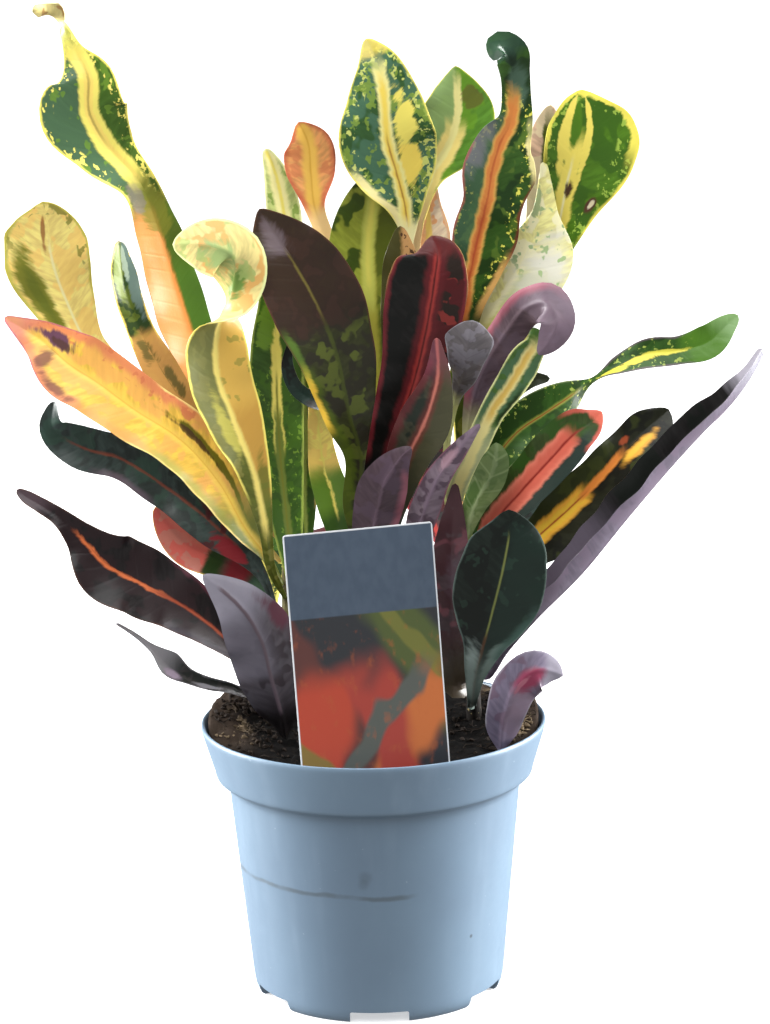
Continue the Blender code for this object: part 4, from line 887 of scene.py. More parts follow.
# Each leaf's ground colour, then the strokes laid over it in order
PAINTS = {
    "leaf_tall_left": ("44651f", [
        band(SEA, "left", 0.0, 0.6, 0.92, soft=2.0, strength=0.8),
        specks(FRESH, 2.4, 0.5, 0.6, 0.92, strength=0.7),
        specks(LEMON, 1.1, 0.5, 0.6, 0.92, "edge", 4.0),
        band("4c7024", "right", 1.0, -1, 0.5, soft=0.8, strength=0.9),
        stretch(MOSS, 0.48, 0.62, fade=0.05, strength=0.7),
        band("d9924e", "left", 1.0, -1, 0.58, soft=0.8),
        rib(ORANGE, 1.5, 0.1, 0.47, rag=0.4, soft=0.9, strength=0.8),
        patch(OLIVE, 0.575, 0.2, 0.05, 0.7, rag=0.5, strength=0.8),
        patch("7d7668", 0.61, -0.5, 0.03, 0.35, rag=0.4, strength=0.8),
        rib(LEMON, 3.6, 0.635, 0.9, soft=0.7),
        rib(BUTTER, 1.6, 0.64, 0.86, rag=0.6, strength=0.7),
        band(BROWN, "rib", 0.5, 0.72, 0.84, rag=0.3, soft=0.4, strength=0.5),
        rim(LEMON, 0.6, 0.6, 0.93, rag=0.5),
        stretch("e3d28c", 0.915, fade=0.01),
        patch(TAN, 0.97, 0.1, 0.03, 0.5, rag=0.4),
    ]),
    "leaf_round_left": ("fee284", [
        specks("fccf70", 5, 0.8, strength=0.6),
        band("f6c068", "left", 0.0, -1, 0.45, soft=4, strength=0.4),
        band("b8bc58", "left_edge", 1.6, 0.5, 0.97, rag=0.9, soft=1.0, strength=0.7),
        patch(OLIVE, 0.8, -0.62, 0.1, 0.26, rag=0.5, soft=0.3),
        patch(MOSS, 0.8, -0.6, 0.06, 0.12, rag=0.5, soft=0.4, strength=0.5),
        specks(OLIVE, 2.6, 0.75, 0.84, 2, "right_edge", 4.5, strength=0.8),
        specks(OLIVE, 2.2, 0.6, 0.9, 2, "left_edge", 3.5, strength=0.7),
        rim("c8bc50", 0.8, 0.75, rag=0.6, soft=0.6),
        rib(CREAM, 0.5, 0.1, 0.9, rag=0.1, soft=0.4, strength=0.8),
        patch(RUST, 0.925, -0.12, 0.035, 0.05, rag=0.5, soft=0.4, strength=0.8),
    ]),
    "leaf_long_orange": ("f5c550", [
        specks("f4b060", 5, 0.9, strength=0.7),
        rim("f2a860", 3.2, 0.3, 0.95, rag=1.2, soft=1.6, strength=0.8),
        band("e0805a", "right_edge", 3.6, 0.5, 0.95, rag=1.5, soft=1.8, strength=0.75),
        band("e58a5e", "left_edge", 3.4, 0.74, rag=1.4, soft=1.6, strength=0.85),
        specks("d87850", 2.0, 0.5, 0.45, 0.95, "right_edge", 5.0, strength=0.7),
        patch("6b6418", 0.37, 0.42, 0.17, 0.11, rag=0.5, soft=0.3),
        patch(BROWN, 0.47, 0.34, 0.07, 0.07, rag=0.8, soft=0.3, strength=0.85),
        band("b7b85a", "left_edge", 3.4, 0.1, 0.55, rag=0.9, soft=2, strength=0.8),
        stretch("7c8440", -1, 0.28, fade=0.09),
        rib("f8d45c", 1.8, 0.1, 0.92, rag=0.5, soft=1.0, strength=0.7),
        rib(AMBER, 0.25, 0.05, 0.88, rag=0.1, soft=0.3, strength=0.6),
        patch("6a4658", 0.875, 0.42, 0.05, 0.26, rag=0.7, soft=0.3),
        patch(BROWN, 0.85, 0.35, 0.03, 0.12, rag=0.7, soft=0.4, strength=0.7),
        patch("7a4630", 0.86, -0.45, 0.022, 0.42, rag=0.6, soft=0.4, strength=0.9),
        patch("7a4630", 0.8, -0.82, 0.035, 0.16, rag=0.6, soft=0.4, strength=0.9),
        stretch("d88878", 0.93, strength=0.7),
        rim("fae08a", 0.5, 0.15, 0.6),
        rim("b8607a", 0.35, 0.8, rag=0.4, strength=0.8),
    ]),
    "leaf_small_olive": (MOSS, [
        specks(BOTTLE, 3, 0.8),
        stretch("d49c54", -1, 0.73, fade=0.02, strength=0.8),
        patch("4c4f24", 0.58, 0.3, 0.06, 0.3, rag=0.8, soft=0.3, strength=0.8),
        patch("4c4f24", 0.68, -0.3, 0.04, 0.4, rag=0.8, soft=0.3, strength=0.8),
        rim(BUTTER, 0.6, 0.7, 0.99, rag=0.6),
        patch("7c8c3c", 0.93, -0.4, 0.08, 0.4, rag=0.5),
        patch("5c7068", 0.9, 0.65, 0.12, 0.42, rag=0.5),
        patch("a4b4a0", 0.94, 0.3, 0.05, 0.22, rag=0.5, strength=0.8),
    ]),
    "leaf_curled_peach": ("5a6122", [
        specks(KHAKI, 4, 0.6, strength=0.5),
        band("7e7e4a", "left", 1.5, 0.4, 0.74, rag=1.0, soft=1.2, strength=0.7),
        band("dcb254", "right", 0.5, 0.3, 0.73, soft=0.8),
        band("b07c34", "right", 0.5, 0.28, 0.5, soft=0.8, strength=0.5),
        patch("c8bf58", 0.47, -0.35, 0.07, 0.2, rag=0.6, soft=0.4, strength=0.8),
        specks("8a8c3c", 3, 0.45, 0.2, 0.72, "right", 0.0, strength=0.6),
        patch("5c6a24", 0.3, 0.55, 0.07, 0.4, rag=0.5, soft=0.3, strength=0.8),
        rib("f0dc78", 1.1, 0.2, 0.75, rag=0.4, soft=0.8),
        rim(LEMON, 0.7, 0.3, 0.75),
        stretch(CREAM, 0.72, fade=0.02),
        patch(FRESH, 0.8, 0.1, 0.05, 0.5, rag=0.9),
        patch(SAGE, 0.9, 0.1, 0.08, 0.6, rag=0.9, strength=0.8),
    ]),
    "leaf_dark_left": ("323e3a", [
        specks(NIGHT, 5, 0.7, strength=0.5),
        specks(TEAL, 6, 0.6, 0.4, strength=0.5),
        rib("84402c", 0.5, 0.3, 0.86, rag=0.4, strength=0.7),
        specks(WINE, 4, 0.6, 0.2, 0.45, strength=0.8),
        band(MAUVE, "left_edge", 2.0, 0.58, 0.78, rag=0.6, soft=1.2, strength=0.6),
        patch(CRIMSON, 0.3, -0.5, 0.06, 0.5, rag=0.5),
    ]),
    "leaf_coral_left": (TEAL, [
        stretch("d4665a", 0.63, fade=0.015),
        specks("c87c6c", 3, 0.8, 0.63),
        band("dc7a66", "right", -2.0, 0.63, soft=1.5, strength=0.7),
        stretch(BOTTLE, 0.54, 0.63, fade=0.02),
        stretch(CRIMSON, 0.4, 0.53),
        stretch(SEA, -1, 0.37),
        rim(BUTTER, 0.3, 0.6, strength=0.6),
    ]),
    "leaf_purple_left": ("140f10", [
        specks("221618", 5, 0.9),
        rib("c8683a", 0.8, 0.48, 0.79, rag=0.7, soft=0.6),
        rib("8f4026", 0.6, 0.26, 0.52, rag=0.3),
        band("544e56", "left_edge", 2.6, 0.2, 0.45, soft=1.8, strength=0.5),
        band("6a2c40", "right_edge", 1.2, 0.2, 0.5, soft=0.8, strength=0.5),
        stretch("5a4a50", 0.9, fade=0.04, strength=0.5),
        rim("5a3a2c", 0.3, strength=0.6),
    ]),
    "leaf_grey_front": (SOOT, []),
    "leaf_rolled_left": ("2a2727", [
        specks(NIGHT, 4, 0.8),
        stretch("98969a", 0.66, fade=0.1, strength=0.9),
        patch("77757a", 0.42, -0.5, 0.08, 0.3, rag=0.4, soft=0.4),
        patch(LILAC, 0.62, -0.5, 0.05, 0.4, rag=0.4, soft=0.4),
        rim("8a888c", 0.3, strength=0.6),
    ]),
    "leaf_green_stripe": (FOREST, [
        specks("42661c", 4, 0.9),
        specks(FRESH, 1.4, 0.4),
        rib(LEMON, 1.9, 0.5, rag=0.7),
        rib("6f8034", 1.4, -1, 0.6, rag=0.6),
        rib(OLIVE, 0.4, 0.2, 0.7, rag=0.2),
        patch(FRESH, 0.84, -0.4, 0.06, 0.4, rag=0.4),
        rim(LIME, 0.6, rag=0.4),
    ]),
    "leaf_green_thin": (GRASS, [
        specks(FOREST, 4, 0.8),
        rib(LIME, 0.9, rag=0.4),
        rim(BUTTER, 0.9, 0.3, rag=0.5),
    ]),
    "leaf_teal_hook": ("1f3029", [specks(NIGHT, 4, 0.8)]),
    "leaf_yellow_small": ("ffe070", [
        specks(BUTTER, 4, 0.9),
        stretch(FOREST, -1, 0.6, fade=0.05),
        stretch(FRESH, 0.42, 0.62, fade=0.04, strength=0.7),
        rib(LEMON, 0.4, 0.4, 1),
    ]),
    "leaf_pale_narrow": ("c0cc7c", [
        specks(FRESH, 2.6, 0.55, where="edge", reach=3.0, strength=0.7),
        rib("f5eea6", 2.6, rag=0.9, soft=1.0),
        rib(LEMON, 0.6, rag=0.3),
        rim("eef0b0", 0.7, rag=0.4),
    ]),
    "leaf_orange_small": ("f2ac6a", [
        specks("e07f56", 4, 0.7, strength=0.6),
        rib("fccc60", 3.0, soft=1.4),
        rib(AMBER, 0.3, rag=0.2, strength=0.7),
        rim("d86c50", 1.6, 0.72, rag=1.0, soft=1.2, strength=0.8),
        band(BROWN, "right_edge", 0.4, 0.85, rag=0.6, strength=0.6),
        stretch("f0cc8c", -1, 0.74),
    ]),
    "leaf_dark_brown": ("34371c", [
        specks(PITCH, 5, 0.9),
        specks("5a6428", 4, 0.6, 0.2, 0.68, strength=0.8),
        stretch("34241c", 0.7, strength=0.9),
        specks("3e2a22", 5, 0.6, 0.68, strength=0.6),
        band(MOSS, "left_edge", 4.0, 0.2, 0.6, rag=1.4, soft=1.2, strength=0.8),
        band(GOLD, "left_edge", 2.0, 0.46, 0.62, rag=1.0, soft=0.8),
        band("5f8030", "left_edge", 2.4, 0.58, 0.72, rag=1.0, soft=0.8, strength=0.7),
        rib("6f6430", 0.4, 0.72, 0.88, rag=0.3),
        rib("4a5420", 0.8, 0.2, 0.7, rag=0.5, strength=0.7),
        # painted sheen: a pale lilac patch near the tip stands for a soft reflection on the dark
        # blade
        patch("7a6c74", 0.93, -0.1, 0.04, 0.4, rag=0.5, soft=0.5, strength=0.6),
        rim("5a3a2a", 0.4, 0.6, strength=0.7),
    ]),
    "leaf_olive": ("8c9634", [
        specks("3a4c14", 6, 0.8),
        band("626a20", "right", soft=1.0, strength=0.6),
        rib("a8a440", 2.6, -1, 0.75, rag=0.5, soft=1.2),
        rib("bcc058", 2.4, 0.6, 0.95, rag=0.6, soft=1.0),
        rib("d8d060", 1.0, 0.66, 0.95, rag=0.4, soft=0.8, strength=0.8),
    ]),
    "leaf_broad_top": ("34582c", [
        specks("4a7058", 6, 0.8, strength=0.8),
        specks("c8d070", 1.3, 0.6, 0.55, 0.97, "edge", 6.0),
        specks("7f9a3c", 2.0, 0.6, 0.5, 0.97, strength=0.8),
        band("f0e4a0", "left_edge", 3.2, 0.5, 0.7, rag=1.2, soft=0.9),
        patch("f2d860", 0.69, 0.4, 0.06, 0.26, rag=0.6),
        patch("efe06a", 0.8, 0.42, 0.07, 0.24, rag=0.7),
        rib("f2ea9a", 2.5, 0.5, 0.93, rag=0.9, soft=0.8),
        rib("f4d860", 1.3, 0.5, 0.9, rag=0.6, soft=0.9),
        rib(RUST, 0.35, 0.54, 0.76, rag=0.2, soft=0.4, strength=0.7),
        rim(LEMON, 0.5, 0.5, rag=0.4, strength=0.8),
        stretch(CREAM, -1, 0.55, fade=0.02, strength=0.9),
        stretch("e8d060", 0.955, fade=0.01, strength=0.7),
    ]),
    "leaf_green_top": ("58882a", [
        specks("6a9a26", 6, 0.8, strength=0.7),
        band("98b074", "left", 0.0, 0.78, soft=1.0, strength=0.7),
        rib("f4e084", 4.0, 0.5, 0.86, rag=0.9, soft=0.8),
        rib("f0e898", 1.4, 0.5, 0.97, rag=0.5),
        stretch("f0d090", -1, 0.66, fade=0.04),
        patch("665a2a", 0.93, 0.5, 0.025, 0.3, rag=0.6, strength=0.7),
        rim(LEMON, 0.3, 0.6, strength=0.7),
    ]),
    "leaf_orange_back": ("fbe0bc", [
        specks("f4b478", 4, 0.8),
        rib(BUTTER, 1.2, rag=0.6),
        rim("f6c898", 1.0),
    ]),
    "leaf_red_large": ("100f0d", [
        specks("0c0d0b", 5, 0.8),
        band("241a15", "right", -1.0, 0.5, soft=1.0),
        specks("7a2c28", 3.0, 0.6, 0.55, 0.97, "right", -3.0),
        specks("4a1518", 5, 0.8, 0.4, 0.97, "right", -1.0),
        rib("561a1e", 3.6, 0.3, 0.99, rag=0.9, soft=1.2),
        rib("963430", 1.4, 0.4, 0.98, rag=0.5, soft=0.8),
        rib("3a1012", 0.3, 0.4, 0.95, rag=0.2),
        rim("6a2228", 1.3, 0.4, 0.99, rag=0.6, soft=0.8),
        stretch("5a2020", 0.95, fade=0.012, strength=0.8),
        rim(TAN, 0.25, 0.85, strength=0.6),
    ]),
    "leaf_small_behind": ("8a6c3c", [
        band("44421f", "left", soft=0.8),
        band("b88c58", "right", -0.6, soft=0.6),
        specks(BROWN, 1.4, 0.5, 0.7, 2, "right", 0.0),
    ]),
    "leaf_coral_rib": ("424234", [
        specks("283028", 5, 0.8),
        band("4c4a34", "right", 0.0, 0.4, soft=1.0, strength=0.8),
        band("6a2c30", "left_edge", 2.6, 0.3, 0.95, rag=1.0, soft=1.4, strength=0.8),
        rib("7a3030", 1.8, 0.1, 0.9, rag=0.7, soft=1.2, strength=0.6),
        rib("c87868", 0.6, rag=0.3),
        stretch(MAGENTA, 0.9, fade=0.05, strength=0.5),
    ]),
    "leaf_pink_low": (SOOT, []),
    "leaf_grey_narrow": (SOOT, []),
    "leaf_hook_top": ("33561a", [
        specks("1f3a14", 6, 0.9),
        specks("5f7a2c", 4, 0.5, 0.4, 0.8, strength=0.6),
        specks("e0dc5c", 1.0, 0.5, 0.4, 0.84, "edge", 4.0),
        band("507454", "left", 0.0, 0.5, 0.8, soft=2.0, strength=0.6),
        patch("8a8490", 0.72, -0.8, 0.05, 0.45, rag=0.5, soft=0.5, strength=0.6),
        patch("6a8a78", 0.86, 0.3, 0.05, 0.5, rag=0.4, soft=0.4, strength=0.5),
        patch("1c3420", 0.93, 0.1, 0.03, 0.4, rag=0.4),
        rib("e8c060", 2.5, 0.4, 0.84, rag=0.7, soft=0.8),
        rib("dc8844", 2.0, 0.36, 0.84, soft=0.9),
        rib("b85c30", 1.0, 0.36, 0.6, soft=0.9, strength=0.8),
        rib("b04028", 0.4, 0.36, 0.76, rag=0.4, soft=0.4, strength=0.6),
        band("b06058", "left_edge", 0.9, 0.5, 0.72, rag=0.6, soft=0.6, strength=0.8),
        band("6a3a24", "right_edge", 0.8, 0.38, 0.7, rag=0.7),
        band("d8a860", "right_edge", 2.0, 0.38, 0.5, rag=0.9, soft=0.8),
        band("e8dc98", "right_edge", 1.4, 0.68, 0.78, rag=0.9, soft=0.6),
        stretch("2c4838", 0.93, fade=0.01, strength=0.7),
    ]),
    "leaf_round_right": ("4f7a1a", [
        specks("3d6418", 6, 0.8),
        specks("9ab848", 1.2, 0.5, where="edge", reach=6.0),
        rib("f4e268", 3.2, 0.55, 0.9, rag=0.9, soft=0.7),
        patch("f4e268", 0.9, -0.3, 0.09, 0.16, rag=0.4),
        patch("f4e268", 0.9, 0.22, 0.1, 0.07, rag=0.4),
        patch("4f7a1a", 0.93, -0.06, 0.05, 0.12),
        rib(CREAM, 0.4, 0.5, 0.84, rag=0.2),
        rim("f0e460", 0.7, 0.7, rag=0.5),
        band("f0e460", "right_edge", 2.6, 0.88, rag=1.2, soft=0.6),
        band("f0e460", "left_edge", 2.2, 0.84, rag=1.2, soft=0.6),
        patch(BROWN, 0.785, 0.05, 0.016, 0.09, rag=0.8, soft=0.4),
        patch("5a3a2a", 0.765, 0.72, 0.016, 0.09, rag=0.6, soft=0.3),
        patch("e8dcb8", 0.766, 0.73, 0.009, 0.04, rag=0.8, soft=0.3),
        stretch("efe47c", -1, 0.62, fade=0.02, strength=0.9),
    ]),
    "leaf_yellow_folded": ("f6ee9c", [
        specks("fbf6c4", 5, 0.9),
        band("c8cc5c", "right", -2.0, 0.45, 0.72, rag=1.0, soft=1.4),
        patch(SAGE, 0.9, -0.4, 0.05, 0.4, rag=0.7),
        # painted sheen: a grey-white patch on the lower right half stands for a soft reflection on
        # the fold
        patch("d8d8d4", 0.7, 0.6, 0.12, 0.5, rag=0.4, soft=0.5, strength=0.7),
        specks("a8c088", 2.4, 0.5, 0.7, 0.92),
        stretch("a89e4e", -1, 0.55, fade=0.07),
        rim("c8b850", 0.5, 0.3, 0.7),
    ]),
    "leaf_grey_tip": (SOOT, []),
    "leaf_pink_edge": (SOOT, []),
    "leaf_yellow_rib": ("46682c", [
        specks("4c6c50", 5, 0.9, strength=0.7),
        stretch("b8bc8c", -1, 0.62, fade=0.06, strength=0.9),
        rib("e8dc94", 1.9, 0.3, 0.95, rag=0.7, soft=0.8),
        rib("dcb85c", 1.1, 0.66, 0.93, rag=0.5, soft=0.7),
        band("1f3212", "right_edge", 2.0, 0.66, 0.8, soft=0.8),
        rim("e6e8a0", 0.45, 0.4, 0.97),
    ]),
    "leaf_small_dark": ("2b3220", []),
    "leaf_olive_small": (OLIVE, [specks(MOSS, 4, 0.8), band(ORANGE, "right", -1.0, soft=1.0)]),
    "leaf_peach_behind": ("ecc8a4", [
        specks("f0dcb0", 4, 0.8),
        band(MOSS, "rib", 1.6, 0.84, 0.97),
        stretch("ece0ac", 0.5, 0.86),
        specks(CREAM, 2.4, 0.7, 0.5, 0.86),
    ]),
    "leaf_pale_low": (FOREST, []),
    "leaf_crimson_upright": ("46383c", [
        specks("40282c", 5, 0.9),
        specks("6c4048", 6, 0.6, strength=0.7),
        patch("5a4a54", 0.62, 0.2, 0.09, 0.4, rag=0.5, soft=0.5, strength=0.5),
        stretch("3c3428", -1, 0.3, fade=0.1),
    ]),
    "leaf_long_right": ("2f5418", [
        specks("223f12", 6, 0.8),
        specks(LIME, 1.0, 0.4, where="edge", reach=4.0),
        stretch("4e7a20", 0.84),
        rib("88903c", 0.9, 0.2, 0.56, rag=0.3),
        rib(RUST, 0.3, 0.2, 0.54, rag=0.1, soft=0.3),
        patch("e2d850", 0.66, 0.45, 0.04, 0.36, rag=0.4),
        patch("e8d44c", 0.72, 0.2, 0.05, 0.28, rag=0.4),
        patch("d8d04c", 0.79, 0.0, 0.06, 0.2, rag=0.4),
        rim(MAUVE, 0.6, 0.62, 0.85, strength=0.7),
        stretch("8fb07a", 0.94, strength=0.6),
        rim(SAGE, 0.3, 0.2, 0.56, strength=0.7),
    ]),
    "leaf_red_right": ("33441c", [
        specks("2c4818", 5, 0.8),
        band("22302a", "right", -2.5, 0.5, 0.92, soft=1.0),
        rib("dc7c66", 4.6, 0.3, 0.86, soft=0.8),
        rib("c85a48", 3.4, 0.3, 0.87, rag=0.9, soft=1.4, strength=0.8),
        rib("8a2620", 0.5, 0.3, 0.9, rag=0.2),
        band("c05a4c", "edge", 1.4, 0.88, soft=0.7),
        stretch("d86c58", 0.96, fade=0.01),
    ]),
    "leaf_orange_rib": ("1c1f0e", [
        specks("12140b", 6, 0.8),
        band("303a14", "left", -2.0, 0.3, 0.8, soft=2.0, strength=0.7),
        specks("3a4218", 6, 0.5, strength=0.7),
        rib("ecac3c", 3.6, 0.3, 0.63, rag=0.7, soft=0.8),
        rib("f0c840", 2.2, 0.34, 0.62, rag=0.9, soft=1.0, strength=0.9),
        rib("e08838", 1.5, 0.6, 0.8, rag=0.5, soft=0.6),
        patch("e8a83c", 0.85, 0.3, 0.075, 0.2, rag=0.4, soft=0.3),
        patch("eec444", 0.85, 0.28, 0.06, 0.1, rag=0.4, soft=0.4),
        rib("b04a24", 0.35, 0.3, 0.62, rag=0.2, soft=0.4),
        patch("a84a24", 0.83, -0.3, 0.015, 0.12, rag=0.6, soft=0.4, strength=0.8),
    ]),
    "leaf_long_purple": ("1c1a1a", [
        specks(NIGHT, 5, 0.7),
        stretch("b8b4be", 0.9),
        stretch("5c5460", -1, 0.5, fade=0.06),
    ]),
    "leaf_oval_front": ("101a14", [
        specks("0c120e", 6, 0.8),
        band("182620", "right", 0.0, 0.45, 0.95, soft=3.0),
        specks("2a4034", 3, 0.4, 0.5, 0.95, strength=0.4),
        rib("70763f", 0.35, 0.5, 0.9, rag=0.1, soft=0.4),
        rib(BROWN, 0.6, 0.1, 0.52, rag=0.2),
        # painted sheen: the pale grey-green patches stand for a soft reflection on the lower part
        # of the dark blade
        patch("9aaaa4", 0.34, -0.5, 0.1, 0.45, rag=0.5, soft=0.5, strength=0.8),
        patch("7a8c84", 0.4, 0.75, 0.1, 0.35, rag=0.5, soft=0.5, strength=0.7),
        band("3c544c", "right_edge", 2.6, 0.42, 0.68, soft=1.8, strength=0.8),
        # painted sheen: the paler lower part of the blade stands for a soft reflection
        stretch("5c6862", -1, 0.4, fade=0.08, strength=0.7),
        rim("5c6c66", 0.35, 0.3, 0.97, strength=0.8),
    ]),
    "leaf_magenta_low": (SOOT, []),
}

# Undersides that face the front. The others share one dull skin.
# The undersides that show, and differ from the shared one
UNDERSIDES = {
    "leaf_grey_front": ("403a40", [
        specks("2c2429", 6, 0.8),
        stretch("171314", -1, 0.25, fade=0.12),
        band("6c6874", "right", 2.0, 0.4, 0.8, soft=5, strength=0.6),
        # painted highlight: the paler tip stands for light on the fold
        stretch("85828e", 0.72, fade=0.08, strength=0.7),
        rib("54484f", 0.6, 0.2, 0.9, rag=0.2, soft=0.4),
        patch("4a2430", 0.66, -0.8, 0.08, 0.25, rag=0.5, soft=0.5),
    ]),
    "leaf_pink_low": ("46363e", [
        specks("4c3c48", 5, 0.8),
        band("8a5460", "left_edge", 2.2, 0.5, 0.9, rag=0.6, soft=1.4),
        rib("6c5866", 0.4, strength=0.6),
    ]),
    "leaf_grey_narrow": ("7c6c78", [
        specks("584854", 4, 0.8),
        rib("7c6a7a", 0.6, soft=0.6),
        patch("b08c98", 0.84, 0.2, 0.05, 0.4, rag=0.5, soft=0.4, strength=0.7),
        rim("8a5c6c", 0.4, 0.4, 0.9),
    ]),
    "leaf_grey_tip": ("615c5e", [
        specks("7c7880", 3, 0.8, strength=0.7),
        stretch("ccd088", -1, 0.62, fade=0.05),
        veins("565058", 0.3, 0.35, 0.6, 2),
        rim("a8a6ae", 0.3, 0.6, strength=0.7),
    ]),
    "leaf_pink_edge": ("64525a", [
        specks("6c5c68", 5, 0.8, strength=0.6),
        band("9a5664", "right_edge", 2.4, 0.45, 0.85, rag=0.7, soft=1.4),
        band("b87884", "right_edge", 0.9, 0.5, 0.85, rag=0.4, soft=0.6, strength=0.7),
        stretch("bcbc84", -1, 0.42, fade=0.06),
        stretch("6c5c6a", 0.82, fade=0.05, strength=0.6),
    ]),
    "leaf_pale_low": ("708450", [
        specks("80905c", 4, 0.7),
        patch(FOREST, 0.76, 0.5, 0.06, 0.5, rag=0.5, strength=0.8),
        rib("94a474", 0.6),
        stretch(BOTTLE, 0.8, fade=0.05, strength=0.6),
        veins("94a474", 0.45, 0.25),
    ]),
    "leaf_long_purple": ("685f6e", [
        specks("6c6070", 5, 0.8),
        rib("4c4050", 0.6),
        stretch("82808a", 0.9, fade=0.05),
    ]),
    "leaf_magenta_low": ("645c6e", [
        specks("5c4c5c", 5, 0.8),
        band("8a7888", "left", 0.0, 0.1, 0.6, soft=2.5, strength=0.7),
        patch("7c3048", 0.72, -0.2, 0.17, 0.4, soft=0.4),
        patch("a86878", 0.62, -0.1, 0.1, 0.1, rag=0.4, soft=0.4, strength=0.7),
        stretch("7c7884", 0.86),
        # painted highlight: the pale rim along the margins stands for light catching the edges
        rim("9c98a2", 0.4, 0.2, 0.95, strength=0.8),
    ]),
    "leaf_curled_peach": ("dccb84", [
        specks("d8a860", 4, 0.7),
        patch("6c8c40", 0.8, -0.1, 0.04, 0.3, rag=0.7, soft=0.4),
        patch("94a868", 0.88, 0.2, 0.05, 0.5, rag=0.7, soft=0.4),
        specks("a0b468", 3.2, 0.6, 0.78, 1, strength=0.8),
        rim("dfe4a0", 0.8, 0.7),
        stretch("5c4e54", -1, 0.7),
    ]),
    "leaf_hook_top": ("3a3c3c", [specks(TEAL, 4, 0.9), stretch("4c4248", -1, 0.8, fade=0.04)]),
    "leaf_tall_left": ("e0d08a", [
        specks(TAN, 3, 0.6, 0.9),
        stretch("5c4e54", -1, 0.9, fade=0.02),
    ]),
}


# Paints shared out among the leaves at the back
BACK_PAINTS = {
    "yellow rib": (FOREST, [
        specks(BOTTLE, 6, 0.8),
        rib(LEMON, 2.6, 0.1, 0.95, rag=1.3, soft=0.7),
        specks(LEMON, 1.2, 0.35),
        rim(LEMON, 1.0, rag=0.7),
    ]),
    "orange rib": ("2a2e17", [
        specks(NIGHT, 6, 0.8),
        rib(GOLD, 2.8, 0.1, 0.9, rag=1.2, soft=0.7),
        rib(RUST, 0.5, 0.1, 0.9, rag=0.3),
    ]),
    "crimson": (SOOT, [
        specks(WINE, 5, 0.9),
        rib(RED, 1.2, rag=0.6),
        rim(CRIMSON, 1.4, rag=0.8),
    ]),
    "gold": (BUTTER, [
        specks(PEACH, 5, 0.9),
        rim(OLIVE, 2.2, rag=1.4, soft=1.0),
        specks(MOSS, 2.6, 0.55),
        rib(CREAM, 0.6, rag=0.2),
    ]),
    "dark green": ("22302a", [
        specks(NIGHT, 6, 0.8),
        rib(RUST, 0.7, rag=0.4),
    ]),
}


def finish_leaves():
    """The upper and under skins of every leaf, by leaf name."""
    shared = leaf_finish(
        "leaf_underside", "483d3c",
        [
            specks("5a4c4e", 9, 0.6, strength=0.6),
            specks("3c4230", 6, 0.5, strength=0.6),
            rib("80707a", 0.7, soft=0.6),
            veins("80707a", 0.4, 0.22),
        ],
        roughness=0.5, relief=-0.2,
    )
    skins = {}
    backs = list(BACK_PAINTS)
    for index, name in enumerate(LEAVES):
        paint = PAINTS.get(name)
        if paint is None:
            paint = BACK_PAINTS[backs[index % len(backs)]]
        upper = leaf_finish(name + "_upper", *paint)
        under = shared
        if name in UNDERSIDES:
            under = leaf_finish(name + "_under", *UNDERSIDES[name], roughness=0.45, relief=-0.2)
        skins[name] = (upper, under)
    return skins


# ---------------------------------------------------------------- leaf shape


def along_stem(points, height):
    """The point of a stem's centre line at a height, in millimetres."""
    for low, high in zip(points, points[1:]):
        if height <= high[2]:
            break
    share = (height - low[2]) / (high[2] - low[2])
    return Vector(low).lerp(Vector(high), share)


def stem_radius(points, height):
    """A stem's radius at a height, in millimetres."""
    share = (height - points[0][2]) / (points[-1][2] - points[0][2])
    return STEM_RADII[0] + (STEM_RADII[1] - STEM_RADII[0]) * share


def leaf_start(leaf):
    """The first station of a leaf's midrib: just clear of its stem, or of the soil."""
    first = Vector(leaf["rib"][0][:3])
    turn = leaf["rib"][0][4]
    if leaf["start"][0] == "soil":
        _, x, y = leaf["start"]
        return (x, y, soil_top(x, y) + STALK_LIFT, LEAST_HALF_WIDTH, turn)
    stem, height = leaf["start"]
    points = STEMS[stem]
    centre = along_stem(points, height)
    outward = (first - centre) * Vector((1, 1, 0))
    reach = stem_radius(points, height) + STALK_GAP
    return (*(centre + outward.normalized() * reach), LEAST_HALF_WIDTH, turn)


def midrib(leaf):
    """The stations' values, how far along each is, and their slopes for a smooth curve."""
    rows = np.array([leaf_start(leaf), *leaf["rib"]], dtype=float)
    steps = np.linalg.norm(np.diff(rows[:, :3], axis=0), axis=1)
    reach = np.concatenate([[0.0], np.cumsum(steps)])
    step = steps[:, None]
    chord = np.diff(rows, axis=0) / step
    inner = (chord[:-1] * step[1:] + chord[1:] * step[:-1]) / (step[1:] + step[:-1])
    return rows, reach, np.vstack([chord[:1], inner, chord[-1:]])


def station_at(rib_line, distance):
    """Point, half width and turn at a distance along the midrib, on a smooth curve."""
    rows, reach, slope = rib_line
    index = int(np.clip(np.searchsorted(reach, distance) - 1, 0, len(reach) - 2))
    step = reach[index + 1] - reach[index]
    t = (distance - reach[index]) / step
    return (
        rows[index] * (1 + 2 * t) * (1 - t) ** 2
        + rows[index + 1] * (3 - 2 * t) * t**2
        + slope[index] * step * t * (1 - t) ** 2
        - slope[index + 1] * step * t**2 * (1 - t)
    )


